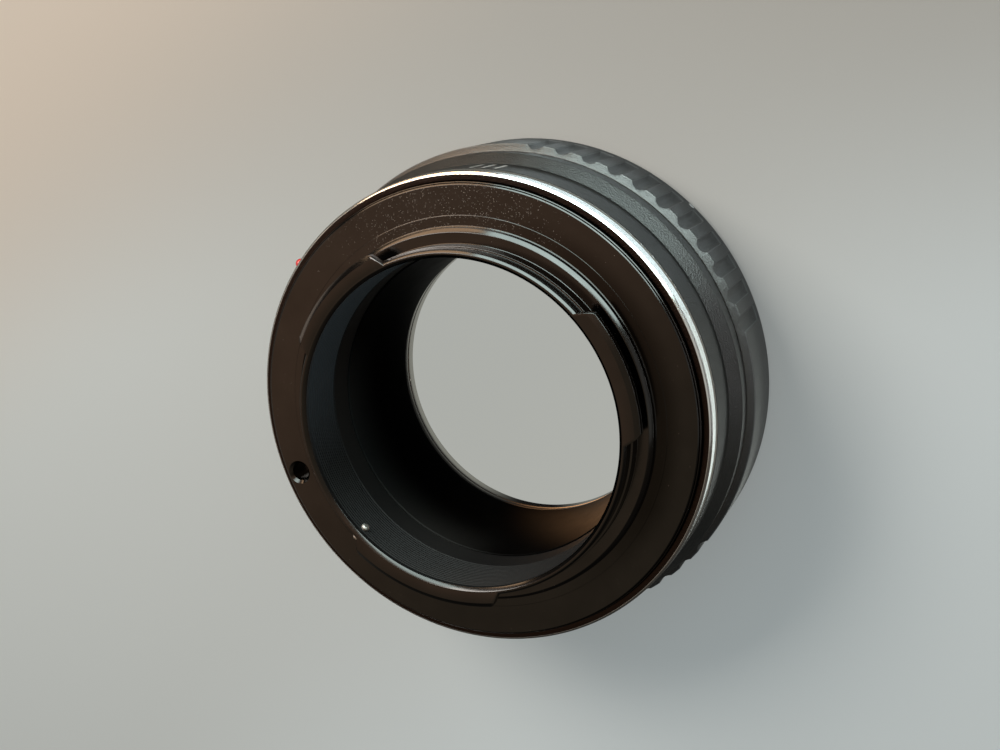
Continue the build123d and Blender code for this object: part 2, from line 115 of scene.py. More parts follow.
def soften(corners: Sequence[Corner], steps: int = 3) -> list[Corner]:
    """Rounds the corners of a closed section.

    Args:
        corners: the section in order, each with its own rounding radius.
        steps: the number of chords in each rounding.

    Returns:
        The section with each rounded corner as a run of points.
    """
    points: list[Corner] = []
    for index, corner in enumerate(corners):
        before, after = corners[index - 1], corners[(index + 1) % len(corners)]
        here = Vector((corner.r, corner.z))
        to_before, to_after = Vector(before[:2]) - here, Vector(after[:2]) - here
        if corner.soft <= 0.0 or to_before.length == 0.0 or to_after.length == 0.0:
            points.append(corner)
            continue
        half = to_before.angle(to_after) / 2
        shorter = min(to_before.length, to_after.length)
        reach = min(corner.soft / math.tan(half), ROUNDING_SHARE * shorter)
        start, end = here + to_before.normalized() * reach, here + to_after.normalized() * reach
        for step in range(steps + 1):
            t = step / steps
            spot = start * (1 - t) ** 2 + here * (2 * t * (1 - t)) + end * t ** 2
            points.append(Corner(spot.x, spot.y))
    return points


class Bench:
    """The steps shared by the pieces: drawing a section, turning it, cutting and joining."""

    @staticmethod
    def clear() -> None:
        """Leaves edit mode and deselects everything."""
        if bpy.context.mode != "OBJECT":
            bpy.ops.object.mode_set(mode="OBJECT")
        bpy.ops.object.select_all(action="DESELECT")

    @staticmethod
    def pick(piece: bpy.types.Object) -> None:
        """Makes one object the only selected and the active one.

        Args:
            piece: the object.
        """
        Bench.clear()
        piece.select_set(True)
        bpy.context.view_layer.objects.active = piece

    @staticmethod
    def turn(
        name: str, section: Sequence[Corner], axis: Axis, steps: int, sweep: float = 360.0
    ) -> bpy.types.Object:
        """Draws a closed section point by point and turns it about an axis.

        Args:
            name: the new object's name.
            section: (radius, height) corners about the axis, in millimetres.
            axis: the line to turn about.
            steps: the number of steps in the sweep.
            sweep: the angle of the turn in degrees; under 360 the ends are closed.

        Returns:
            The new solid.
        """
        points = [(axis.origin + axis.side * c.r + axis.along * c.z) * MM for c in section]
        Bench.clear()
        bpy.ops.mesh.primitive_plane_add(size=MM)
        piece = bpy.context.active_object
        piece.name = piece.data.name = name
        bpy.ops.object.mode_set(mode="EDIT")
        bpy.context.tool_settings.mesh_select_mode = (True, False, False)
        bpy.ops.mesh.select_all(action="SELECT")
        bpy.ops.mesh.merge(type="CENTER")
        bpy.ops.transform.translate(value=points[0])
        for here, there in zip(points, points[1:] + points[:1]):
            bpy.ops.mesh.extrude_vertices_move(TRANSFORM_OT_translate={"value": there - here})
        bpy.ops.mesh.select_all(action="SELECT")
        bpy.ops.mesh.remove_doubles(threshold=MERGE)
        bpy.ops.mesh.select_all(action="SELECT")
        bpy.ops.mesh.spin(
            steps=steps, angle=-math.radians(sweep), center=axis.origin * MM, axis=axis.along
        )
        bpy.ops.mesh.select_all(action="SELECT")
        bpy.ops.mesh.remove_doubles(threshold=MERGE)
        if sweep < 360.0:
            bpy.ops.mesh.fill_holes(sides=0)
        bpy.ops.mesh.select_all(action="SELECT")
        bpy.ops.mesh.normals_make_consistent(inside=False)
        bpy.ops.object.mode_set(mode="OBJECT")
        return piece

    @staticmethod
    def copies(piece: bpy.types.Object, angles: Sequence[float]) -> bpy.types.Object:
        """Copies a piece round the optical axis and joins the copies, each with its own mesh.

        Args:
            piece: the one that is modelled, which becomes the first of them.
            angles: the turn of each copy in degrees.

        Returns:
            One object that holds them all.
        """
        made = []
        for angle in angles:
            twin = piece.copy()
            twin.data = piece.data.copy()
            bpy.context.collection.objects.link(twin)
            twin.data.transform(Matrix.Rotation(math.radians(angle), 4, "Z"))
            made.append(twin)
        bpy.data.objects.remove(piece, do_unlink=True)
        Bench.clear()
        for twin in made:
            twin.select_set(True)
        bpy.context.view_layer.objects.active = made[0]
        if len(made) > 1:
            bpy.ops.object.join()
        return made[0]

    @staticmethod
    def combine(piece: bpy.types.Object, tool: bpy.types.Object, how: Join) -> None:
        """Adds one solid to another, or cuts it away, and removes the second.

        Args:
            piece: the solid that is changed.
            tool: the second solid.
            how: whether it is added or cut away.
        """
        change = piece.modifiers.new("combine", "BOOLEAN")
        change.operation = how.value
        change.solver = "MANIFOLD"
        change.object = tool
        Bench.pick(piece)
        bpy.ops.object.modifier_apply(modifier=change.name)
        bpy.data.objects.remove(tool, do_unlink=True)

    @staticmethod
    def ease_edges(piece: bpy.types.Object, width: float, segments: int = 2, angle: float = 35.0) -> None:
        """Rounds every edge sharper than an angle.

        Args:
            piece: the solid.
            width: the size of the rounding in millimetres.
            segments: the number of faces across it.
            angle: the least angle of an edge that is rounded, in degrees.
        """
        change = piece.modifiers.new("ease", "BEVEL")
        change.width = width * MM
        change.segments = segments
        change.limit_method = "ANGLE"
        change.angle_limit = math.radians(angle)
        Bench.pick(piece)
        bpy.ops.object.modifier_apply(modifier=change.name)

    @staticmethod
    def smooth(piece: bpy.types.Object, angle: float = 32.0) -> None:
        """Shades a piece smooth wherever its faces meet at less than an angle."""
        Bench.pick(piece)
        bpy.ops.object.shade_smooth_by_angle(angle=math.radians(angle))

    @staticmethod
    def settle(piece: bpy.types.Object, body: Body, slot: str, node: str | None, finish: "Finish") -> None:
        """Finishes a piece: its shading, its material, its body and the node that it stands for.

        Args:
            piece: the finished mesh.
            body: the body that it rides on.
            slot: the record's material slot; not used.
            node: the CAD node that it replaces, if any.
            finish: the finish that dresses it.
        """
        Bench.smooth(piece)
        piece.data.materials.clear()
        piece.data.materials.append(finish.material())
        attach(piece, body.value)
        if node:
            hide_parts(node)
        LOG.info("%s: %d faces on %s", piece.name, len(piece.data.polygons), body.value)


class Value:
    """A shader socket that takes part in Python arithmetic."""

    def __init__(self, graph: "Graph", socket: "bpy.types.NodeSocket | None") -> None:
        """Wraps an output socket of one graph."""
        self.graph = graph
        self.socket = socket

    def _math(self, operation: str, *terms: Any) -> "Value":
        """Adds a Math node on these terms."""
        return self.graph.node("ShaderNodeMath", {"operation": operation}, dict(enumerate(terms)))

    def __add__(self, other: Any) -> "Value":
        """Sum."""
        return self._math("ADD", self, other)

    def __radd__(self, other: Any) -> "Value":
        """Sum, reflected."""
        return self._math("ADD", other, self)

    def __sub__(self, other: Any) -> "Value":
        """Difference."""
        return self._math("SUBTRACT", self, other)

    def __rsub__(self, other: Any) -> "Value":
        """Difference, reflected."""
        return self._math("SUBTRACT", other, self)

    def __mul__(self, other: Any) -> "Value":
        """Product."""
        return self._math("MULTIPLY", self, other)

    def __rmul__(self, other: Any) -> "Value":
        """Product, reflected."""
        return self._math("MULTIPLY", other, self)

    def __truediv__(self, other: Any) -> "Value":
        """Quotient."""
        return self._math("DIVIDE", self, other)

    def __rtruediv__(self, other: Any) -> "Value":
        """Quotient, reflected."""
        return self._math("DIVIDE", other, self)

    def most(self, other: Any) -> "Value":
        """The larger of two values."""
        return self._math("MAXIMUM", self, other)


class Graph:
    """The nodes of one material or world."""

    def __init__(self, tree: bpy.types.NodeTree) -> None:
        """Empties a node tree and takes it over."""
        self.tree = tree
        self.tree.nodes.clear()

    def node(
        self,
        kind: str,
        settings: dict[str, Any] | None = None,
        inputs: dict[int | str, Any] | None = None,
        output: int | str = 0,
    ) -> Value:
        """Adds any node.

        Args:
            kind: the node's type.
            settings: its own settings, set first.
            inputs: values or links of its sockets, by place or name.
            output: the output that is handed back.

        Returns:
            The chosen output, or an empty value from a node that has none.
        """
        made = self.tree.nodes.new(kind)
        for name, setting in (settings or {}).items():
            setattr(made, name, setting)
        for name, given in (inputs or {}).items():
            if isinstance(given, Value):
                self.tree.links.new(given.socket, made.inputs[name])
            elif isinstance(given, tuple) and len(given) == 3 and made.inputs[name].type == "RGBA":
                made.inputs[name].default_value = (*given, 1.0)
            else:
                made.inputs[name].default_value = given
        return Value(self, made.outputs[output] if made.outputs else None)

    def place(self) -> "Place":
        """Reads where the shaded point is on its object.

        Returns:
            The point's place in millimetres.
        """
        spot = self.node("ShaderNodeTexCoord", output="Object")
        spot = self.node("ShaderNodeVectorMath", {"operation": "SCALE"}, {0: spot, "Scale": 1.0 / MM})
        return Place(self, spot)

    def blend(self, factor: Any, first: Any, second: Any) -> Value:
        """A colour between two, by a factor."""
        return self.node("ShaderNodeMix", {"data_type": "RGBA"}, {0: factor, 6: first, 7: second}, 2)

    def noise(self, spot: Value, scale: float, detail: float = 2.0, rough: float = 0.5) -> Value:
        """Cloudy noise over the surface.

        Args:
            spot: the place that it is read at.
            scale: the number of features per millimetre.
            detail: the number of finer layers.
            rough: how strongly those layers show.

        Returns:
            The noise, from 0 to 1.
        """
        return self.node(
            "ShaderNodeTexNoise",
            None,
            {"Vector": spot, "Scale": scale, "Detail": detail, "Roughness": rough},
        )

    def cells(self, spot: Value, scale: float, output: str) -> Value:
        """Scattered cells, with scale in cells per millimetre: an output gives their distance or colour."""
        return self.node("ShaderNodeTexVoronoi", None, {"Vector": spot, "Scale": scale}, output)

    def lines(self, along: Value, scale: float, detail: float = 2.0) -> Value:
        """Uneven turning lines along one length.

        Args:
            along: the length that they follow.
            scale: the number of lines per millimetre.
            detail: the number of finer layers.

        Returns:
            The height of the lines, from 0 to 1.
        """
        return self.node(
            "ShaderNodeTexNoise", {"noise_dimensions": "1D"}, {"W": along, "Scale": scale, "Detail": detail}
        )

    def step(self, value: Value, low: Any, high: float) -> Value:
        """A soft step from 0 at one value to 1 at another, which may be the smaller.

        Args:
            value: what the step follows.
            low: where it is 0.
            high: where it is 1.

        Returns:
            The height of the step.
        """
        limits = {0: value, 1: low, 2: high, 3: 0.0, 4: 1.0}
        if not isinstance(low, Value) and low > high:
            limits.update({1: high, 2: low, 3: 1.0, 4: 0.0})
        return self.node("ShaderNodeMapRange", {"interpolation_type": "SMOOTHSTEP"}, limits)

    def wedge(self, at: "Place", angle: float, outer: float, inner: float) -> Value:
        """A soft wedge round the optical axis.

        Args:
            at: the point's place.
            angle: the bearing of the wedge's middle, in degrees.
            outer: the half angle at which it has faded.
            inner: the half angle up to which it is full.

        Returns:
            The share of the wedge at the point.
        """
        facing = at.x * math.cos(math.radians(angle)) + at.y * math.sin(math.radians(angle))
        return self.step(facing / at.r, math.cos(math.radians(outer)), math.cos(math.radians(inner)))

    def bump(self, height: Value, depth: float, strength: float, under: Value | None = None) -> Value:
        """Surface relief.

        Args:
            height: the relief, from 0 to 1.
            depth: how deep that is, in millimetres.
            strength: how strongly it shows.
            under: a coarser relief that this one lies on, if any.

        Returns:
            The normal of the surface.
        """
        inputs: dict[int | str, Any] = {"Height": height, "Distance": depth * MM, "Strength": strength}
        if under:
            inputs["Normal"] = under
        return self.node("ShaderNodeBump", None, inputs, "Normal")

    def surface(self, sockets: dict[int | str, Any]) -> None:
        """Closes a material with one Principled shader."""
        shader = self.node("ShaderNodeBsdfPrincipled", None, sockets)
        self.node("ShaderNodeOutputMaterial", None, {"Surface": shader})


class Place:
    """A point's place in millimetres: the vector, its height and its distance from the optical axis."""

    def __init__(self, graph: Graph, spot: Value) -> None:
        """Splits a vector into the lengths that the finishes use.

        Args:
            graph: the nodes that it belongs to.
            spot: the vector in millimetres.
        """
        self.spot = spot
        self.x, self.y, self.z = (
            graph.node("ShaderNodeSeparateXYZ", None, {0: spot}, side) for side in range(3)
        )
        flat = graph.node("ShaderNodeVectorMath", {"operation": "MULTIPLY"}, {0: spot, 1: (1.0, 1.0, 0.0)})
        self.r = graph.node("ShaderNodeVectorMath", {"operation": "LENGTH"}, {0: flat}, "Value")


@dataclass(frozen=True)
class Finish:
    """A surface finish: a name, the colours that its nodes mix and its patterns' features per millimetre."""

    name: str
    dark: Colour
    light: Colour
    rough: float
    cloud_scale: float = 0.6
    grain_scale: float = 9.0
    turning_scale: float = 8.0

    def material(self) -> bpy.types.Material:
        """Makes the finish's material once, for all the pieces that wear it.

        Returns:
            The material.
        """
        made = bpy.data.materials.get(self.name)
        if made is None:
            made = bpy.data.materials.new(self.name)
            made.use_nodes = True
            self.paint(Graph(made.node_tree))
        return made

    def paint(self, graph: Graph) -> None:
        """Fills an empty graph with this finish.

        Args:
            graph: the material's nodes.
        """
        at = graph.place()
        cloud = graph.noise(at.spot, self.cloud_scale)
        grain = graph.noise(at.spot, self.grain_scale, 3.0)
        graph.surface({
            "Base Color": graph.blend(cloud, self.dark, self.light),
            "Roughness": self.rough + (cloud - 0.5) * 0.1,
            "Normal": graph.bump(grain, 0.01, 0.4),
        })


@dataclass(frozen=True)
class BlackPlating(Finish):
    """Satin black plating on the camera plate, with matt grooves in its bore, painted light in the bore,
    painted shade round the boss's foot and specks of dust and painted glints.
    """

    cloud_scale: float = 0.22
    grain_scale: float = 11.0
    turning_scale: float = 7.0
    bore_r: float = 20.72
    bore_top: float = 28.58
    flange_top: float = 24.1
    # The bore's matt coat and two paler colours of it that are painted light on the sides the light reaches.
    matt: Colour = (0.0115, 0.0125, 0.0128)
    matt_lit: Colour = (0.030, 0.032, 0.031)
    matt_lit_side: Colour = (0.070, 0.076, 0.080)
    lit_angle: float = 210.0
    lit_side_angle: float = 142.0
    # Painted shade on one side of the flange, round the boss's foot.
    shade_angle: float = 10.0
    shade: Colour = (0.016, 0.0145, 0.013)
    shade_start: float = 27.4
    shade_full: float = 24.2
    groove_end: float = 21.4
    # Specks of dust and painted glints on the flange, the glints on its upper side.
    dust_and_glint: Colour = (0.18, 0.14, 0.105)
    speck_scale: float = 5.5

    def scatter_dust_and_glints(self, graph: Graph, at: Place, flange: Value, cloud: Value) -> Value:
        """Scattered specks of dust and painted glints, the glints gathered on the flange's upper side where
        the light catches them.

        Args:
            graph: the material's nodes.
            at: the point's place.
            flange: the share of the flange, below the boss.
            cloud: the noise that thins the specks out elsewhere.

        Returns:
            The share of dust and painted glints at the point.
        """
        glint_side = graph.step(at.y / at.r, 0.70, 0.99) * flange
        chance = graph.cells(at.spot, self.speck_scale, "Color")
        specks = graph.step(graph.cells(at.spot, self.speck_scale, "Distance"), 0.42, 0.22)
        specks = specks * graph.step(chance, 0.86 - glint_side * 0.36, 1.0)
        return specks * (graph.step(cloud, 0.42, 0.62) * 0.7).most(glint_side)

    def matt_coat(self, graph: Graph, at: Place) -> Value:
        """The matt coat of the bore, with painted light: paler on one side below the grooves and on another
        side over them, where the light reaches into it.

        Args:
            graph: the material's nodes.
            at: the point's place.

        Returns:
            The coat's colour.
        """
        grooved = graph.step(at.z, self.groove_end, self.groove_end + 0.4)
        lit = graph.wedge(at, self.lit_angle, 60.0, 10.0) * (1.0 - grooved)
        side = graph.wedge(at, self.lit_side_angle, 60.0, 15.0) * grooved
        return graph.blend(lit, graph.blend(side, self.matt, self.matt_lit_side), self.matt_lit)

    def paint(self, graph: Graph) -> None:
        """Turned flats, fine dust and painted glints, painted shade round the boss's foot and a matt bore
        with painted light.

        Args:
            graph: the material's nodes.
        """
        at = graph.place()
        bore = graph.step(at.r, self.bore_r + 0.02, self.bore_r - 0.02)
        bore = bore * graph.step(at.z, self.bore_top + 0.02, self.bore_top - 0.02)
        cloud = graph.noise(at.spot, self.cloud_scale, 3.0)
        turning = graph.lines(at.r, self.turning_scale, 3.0)
        grain = graph.noise(at.spot, self.grain_scale, 2.0)
        flange = graph.step(at.z, self.flange_top + 0.1, self.flange_top)
        specks = self.scatter_dust_and_glints(graph, at, flange, cloud)
        # Painted shade on one side of the flange, darker towards the boss's foot.
        foot = graph.wedge(at, self.shade_angle, 75.0, 25.0) * flange
        foot = foot * graph.step(at.r, self.shade_start, self.shade_full)
        colour = graph.blend(cloud, self.dark, self.light)
        colour = graph.blend(foot * 0.8, colour, self.shade)
        colour = graph.blend(specks * (1.0 - bore) * 0.8, colour, self.dust_and_glint)
        colour = graph.blend(bore, colour, self.matt_coat(graph, at))
        relief = turning * 0.5 + grain * 0.5
        graph.surface({
            "Base Color": colour,
            "Metallic": (1.0 - bore) * (1.0 - specks),
            "Roughness": self.rough + (cloud - 0.5) * 0.04 + (turning - 0.5) * 0.04 + bore * 0.35,
            "Specular IOR Level": 0.1,
            "Normal": graph.bump(specks * (1.0 - bore), 0.03, 0.7, graph.bump(relief, 0.003, 0.35)),
        })


@dataclass(frozen=True)
class BarrelAnodising(Finish):
    """Fine blasted black anodising, with the bright turned band at the rim."""

    cloud_scale: float = 0.35
    grain_scale: float = 4.5
    turning_scale: float = 9.0
    bright: Colour = (0.86, 0.89, 0.89)
    bright_rough: float = 0.16
    rim: Colour = (0.022, 0.016, 0.014)
    speck: Colour = (0.10, 0.11, 0.11)
    bright_low: float = 20.76
    bright_high: float = 23.2
    bright_r: float = 29.58

    def paint(self, graph: Graph) -> None:
        """A bright turned band above a blasted black body.

        Args:
            graph: the material's nodes.
        """
        at = graph.place()
        band = graph.step(at.z, self.bright_low - 0.015, self.bright_low + 0.015)
        band = band * graph.step(at.z, self.bright_high + 0.015, self.bright_high - 0.015)
        band = band * graph.step(at.r, self.bright_r - 0.02, self.bright_r + 0.02)
        cloud = graph.noise(at.spot, self.cloud_scale, 3.0)
        turning = graph.lines(at.z, self.turning_scale, 3.0)
        grain = graph.noise(at.spot, self.grain_scale, 2.0, 0.6)
        colour = graph.blend(cloud, self.dark, self.light)
        colour = graph.blend(graph.step(grain, 0.62, 0.80) * 0.35, colour, self.speck)
        face = graph.step(at.z, self.bright_high - 0.35, self.bright_high - 0.3) * (1.0 - band)
        colour = graph.blend(face, colour, self.rim)
        colour = graph.blend(band, colour, self.bright)
        relief = (1.0 - band) * (grain - 0.5) + band * (turning - 0.5) * 0.05
        graph.surface({
            "Base Color": colour,
            "Metallic": band.most(face),
            "Roughness": self.rough + (cloud - 0.5) * 0.10 - band * (self.rough - self.bright_rough),
            "Specular IOR Level": 0.6,
            "Normal": graph.bump(relief, 0.07, 0.8),
        })


@dataclass(frozen=True)
class GripAnodising(Finish):
    """Blasted dark anodising on the grip ring, a little worn on its lands, with a painted highlight along the
    lands' edges.
    """

    cloud_scale: float = 0.4
    grain_scale: float = 4.5
    wear_scale: float = 2.2
    land_r: float = 32.1
    worn: Colour = (0.09, 0.09, 0.088)
    # Painted highlight along the edges of the lands.
    edge: Colour = (0.22, 0.225, 0.22)
    speck: Colour = (0.13, 0.14, 0.14)

    def paint(self, graph: Graph) -> None:
        """Blasted grain with paler lands: worn patches, and a painted highlight along their edges.

        Args:
            graph: the material's nodes.
        """
        at = graph.place()
        land = graph.step(at.r, self.land_r - 0.12, self.land_r + 0.02)
        cloud = graph.noise(at.spot, self.cloud_scale, 3.0)
        grain = graph.noise(at.spot, self.grain_scale, 2.0, 0.6)
        wear = graph.step(graph.noise(at.spot, self.wear_scale, 4.0, 0.65), 0.52, 0.75) * land
        colour = graph.blend(cloud, self.dark, self.light)
        colour = graph.blend(wear * 0.4, colour, self.worn)
        # A painted highlight in a thin zone at the lands' edges.
        edge = graph.step(at.r, self.land_r - 0.10, self.land_r - 0.02)
        edge = edge * graph.step(at.r, self.land_r + 0.04, self.land_r + 0.02)
        colour = graph.blend(edge * 0.42, colour, self.edge)
        colour = graph.blend(graph.step(grain, 0.62, 0.80) * 0.4, colour, self.speck)
        graph.surface({
            "Base Color": colour,
            "Roughness": self.rough + (cloud - 0.5) * 0.12,
            "Specular IOR Level": 0.8,
            "Normal": graph.bump(grain, 0.07, 0.8),
        })


@dataclass(frozen=True)
class MattLining(Finish):
    """Matt black lining of the light path, faintly turned, with painted light on one side towards its front.
    """

    cloud_scale: float = 0.5
    grain_scale: float = 10.0
    turning_scale: float = 5.0
    # Painted light: the paler colour on one side of the lining towards its front.
    front: Colour = (0.036, 0.037, 0.034)
    lit_angle: float = 210.0
    fade_low: float = 10.0
    fade_high: float = 19.5

    def paint(self, graph: Graph) -> None:
        """Turning lines under a matt coat, painted paler on one side towards the front, where the light
        reaches.

        Args:
            graph: the material's nodes.
        """
        at = graph.place()
        cloud = graph.noise(at.spot, self.cloud_scale, 3.0)
        turning = graph.lines(at.z, self.turning_scale, 2.0)
        colour = graph.blend(cloud, self.dark, self.light)
        # Painted light on one side, growing towards the front.
        lit = graph.wedge(at, self.lit_angle, 60.0, 10.0) * graph.step(at.z, self.fade_low, self.fade_high)
        graph.surface({
            "Base Color": graph.blend(lit, colour, self.front),
            "Roughness": self.rough + (cloud - 0.5) * 0.12,
            "Specular IOR Level": 0.02,
            "Normal": graph.bump(turning + graph.noise(at.spot, self.grain_scale), 0.008, 0.4),
        })


@dataclass(frozen=True)
class TurnedMetal(Finish):
    """Polished metal with fine turning lines round the optical axis."""

    cloud_scale: float = 0.3

    def paint(self, graph: Graph) -> None:
        """Concentric and lengthwise turning lines on bright metal.

        Args:
            graph: the material's nodes.
        """
        at = graph.place()
        cloud = graph.noise(at.spot, self.cloud_scale, 3.0)
        turning = graph.lines(at.r + at.z, self.turning_scale, 3.0)
        graph.surface({
            "Base Color": graph.blend(cloud * 0.6 + turning * 0.4, self.dark, self.light),
            "Metallic": 1.0,
            "Roughness": self.rough + (turning - 0.5) * 0.10,
            "Normal": graph.bump(turning, 0.004, 0.4),
        })


@dataclass(frozen=True)
class Enamel(Finish):
    """Glossy fired enamel."""

    cloud_scale: float = 2.5
    grain_scale: float = 4.0

    def paint(self, graph: Graph) -> None:
        """A cloudy colour under a clear coat.

        Args:
            graph: the material's nodes.
        """
        at = graph.place()
        cloud = graph.noise(at.spot, self.cloud_scale, 2.0)
        graph.surface({
            "Base Color": graph.blend(cloud, self.dark, self.light),
            "Roughness": self.rough + (cloud - 0.5) * 0.06,
            "Coat Weight": 0.6,
            "Normal": graph.bump(graph.noise(at.spot, self.grain_scale), 0.006, 0.3),
        })


BLACK_PLATING = BlackPlating("black_plating", (0.038, 0.0375, 0.037), (0.058, 0.0575, 0.057), 0.16)
BARREL_ANODISING = BarrelAnodising("barrel_anodising", (0.011, 0.0113, 0.0110), (0.020, 0.0205, 0.0195), 0.32)
GRIP_ANODISING = GripAnodising("grip_anodising", (0.013, 0.013, 0.013), (0.024, 0.024, 0.0235), 0.40)
MATT_LINING = MattLining("matt_lining", (0.0010, 0.0010, 0.0009), (0.0028, 0.0027, 0.0025), 0.32)
BRIGHT_METAL = TurnedMetal("bright_metal", (0.62, 0.60, 0.56), (0.80, 0.79, 0.76), 0.20)
STEEL = TurnedMetal("steel", (0.50, 0.50, 0.49), (0.68, 0.68, 0.66), 0.24)
PIN_STEEL = TurnedMetal("pin_steel", (0.30, 0.29, 0.27), (0.40, 0.39, 0.37), 0.50)
RED_ENAMEL = Enamel("red_enamel", (0.42, 0.020, 0.008), (0.58, 0.045, 0.015), 0.22)
WHITE_MARK = Enamel("white_mark", (0.66, 0.67, 0.64), (0.82, 0.83, 0.80), 0.45)
SLIP_WASHER = Finish("slip_washer", (0.70, 0.69, 0.65), (0.84, 0.83, 0.80), 0.45)


@dataclass
class CameraPlate:
    """The plate that goes into the camera: flange, boss, bayonet tube, tabs and spigot, with its stop pin."""

    bore_r: float = 20.5
    lip_chamfer: float = 0.4
    land_r: float = 21.12
    front_r: float = 21.4
    front_chamfer: float = 0.3
    relief_end: float = 27.05
    relief_slope: float = 0.03
    tube_r: float = 21.65
    tube_top: float = 29.0
    boss_r: float = 23.5
    boss_top: float = 25.4
    boss_fall: float = 0.1
    boss_chamfer: float = 0.48
    boss_foot: float = 0.12
    inner_land_r: float = 24.83
    inner_land_rise: float = 0.05
    face: float = 24.0
    back: float = 21.4
    flange_r: float = 28.8
    edge_chamfer: float = 0.32
    edge_lip: float = 0.04
    # The groove in the flange's edge, as lengths inwards from that edge and down from the face.
    edge_groove: tuple[Corner, ...] = (Corner(0.22, 0.13, 0.02), Corner(0.18, 0.32), Corner(0.10, 0.24, 0.02))
    spigot_r: float = 21.4
    spigot_end: float = 17.8
    spigot_chamfer: float = 0.12
    groove_start: float = 21.4
    groove_pitch: float = 0.45
    groove_count: int = 15
    groove_depth: float = 0.16
    groove_width: float = 0.32
    tab_r: float = 23.05
    tab_rear: float = 27.75
    tab_slope_r: float = 22.4
    tab_edge: float = 28.57
    tab_angles: tuple[tuple[float, float], ...] = ((109.2, 155.1), (-5.6, 40.2), (223.6, 280.2))
    tab_lean: float = 3.8
    tab_lift: float = 0.002
    tab_round: float = 0.5
    tab_ease: float = 0.17
    hole_circle: float = 26.82
    hole_angle: float = 197.1
    hole_r: float = 1.2
    hole_depth: float = 2.0
    hole_chamfer: float = 0.36
    pin_angle: float = 223.2
    pin_z: float = 27.15
    pin_r: float = 0.55
    pin_rise: float = 0.45
    pin_end: float = 22.4
    pin_slip: float = 0.02
    pin_flat_share: float = 0.65
    pin_crown: float = 0.2
    pin_chamfer: float = 0.05

    def section(self) -> list[Corner]:
        """The turned section of the plate, with the light-trap grooves in its bore.

        Returns:
            The section's corners, rounded.
        """
        lip = self.bore_r + self.lip_chamfer
        land = self.face + self.inner_land_rise
        corners = [
            Corner(lip, self.tube_top, 0.1),
            Corner(self.land_r, self.tube_top, 0.1),
            Corner(self.front_r, self.tube_top - self.front_chamfer, 0.1),
            Corner(self.front_r, self.relief_end + self.relief_slope, 0.05),
            Corner(self.tube_r, self.relief_end, 0.08),
            Corner(self.tube_r, self.boss_top - self.boss_fall, 0.12),
            Corner(self.boss_r - self.boss_chamfer, self.boss_top, 0.12),
            Corner(self.boss_r, self.boss_top - self.boss_chamfer, 0.12),
            Corner(self.boss_r, land + self.boss_foot, 0.03),
            Corner(self.boss_r + self.boss_foot, land, 0.03),
            Corner(self.inner_land_r, land, 0.04),
            Corner(self.inner_land_r + self.inner_land_rise, self.face, 0.03),
            Corner(self.flange_r - self.edge_chamfer - self.edge_lip, self.face, 0.04),
            *(Corner(self.flange_r - step.r, self.face - step.z, step.soft) for step in self.edge_groove),
            Corner(self.flange_r, self.face - self.edge_chamfer - self.edge_lip / 2, 0.06),
            Corner(self.flange_r, self.back),
            Corner(self.spigot_r, self.back),
            Corner(self.spigot_r, self.spigot_end),
            Corner(self.bore_r + self.spigot_chamfer, self.spigot_end),
            Corner(self.bore_r, self.spigot_end + self.spigot_chamfer),
        ]
        for index in range(self.groove_count):
            z = self.groove_start + index * self.groove_pitch
            corners.append(Corner(self.bore_r, z))
            corners.append(Corner(self.bore_r + self.groove_depth, z + self.groove_width / 2))
            corners.append(Corner(self.bore_r, z + self.groove_width))
        corners.append(Corner(self.bore_r, self.tube_top - self.lip_chamfer, 0.05))
        return soften(corners)

    def tab_root(self) -> float:
        """The radius, inside the tube's wall, at which a tab starts."""
        return (self.bore_r + self.lip_chamfer + self.land_r) / 2

    def lean_flanks(self, piece: bpy.types.Object, start: float, end: float) -> None:
        """Leans the flanks of a tab inwards, more the further out they are.

        Args:
            piece: the tab, with flanks that point at the optical axis.
            start: the angle of its first root, in degrees.
            end: the angle of its last root.
        """
        root = self.tab_root()
        margin = 10.0
        for vertex in piece.data.vertices:
            out = (math.hypot(vertex.co.x, vertex.co.y) / MM - root) / (self.tab_r - root)
            angle = math.degrees(math.atan2(vertex.co.y, vertex.co.x))
            angle = (angle - start + margin) % 360.0 - margin
            lean = self.tab_lean * out * (1.0 - 2.0 * angle / (end - start))
            vertex.co = Matrix.Rotation(math.radians(lean), 3, "Z") @ vertex.co

    def round_corners(self, piece: bpy.types.Object, start: float, end: float) -> None:
        """Rounds the two upright corners at the outer end of a tab's flanks.

        Args:
            piece: the tab, with its flanks leaning.
            start: the angle of its first root, in degrees.
            end: the angle of its last root.
        """
        mesh = piece.data
        limits = (start + self.tab_lean, end - self.tab_lean)
        Bench.pick(piece)
        bpy.ops.object.mode_set(mode="EDIT")
        bpy.context.tool_settings.mesh_select_mode = (False, True, False)
        bpy.ops.mesh.select_all(action="DESELECT")
        bpy.ops.object.mode_set(mode="OBJECT")
        for edge in mesh.edges:
            spots = [mesh.vertices[index].co for index in edge.vertices]
            outer = all(math.hypot(spot.x, spot.y) / MM > self.tab_r - 0.01 for spot in spots)
            upright = abs(spots[0].z - spots[1].z) > 0.1 * MM
            angles = [math.degrees(math.atan2(spot.y, spot.x)) for spot in spots]
            at_end = all(
                min(abs((angle - limit + 180.0) % 360.0 - 180.0) for limit in limits) < 0.1
                for angle in angles
            )
            edge.select = outer and upright and at_end
        bpy.ops.object.mode_set(mode="EDIT")
        bpy.ops.mesh.bevel(offset=self.tab_round * MM, segments=5, affect="EDGES")
        bpy.ops.object.mode_set(mode="OBJECT")

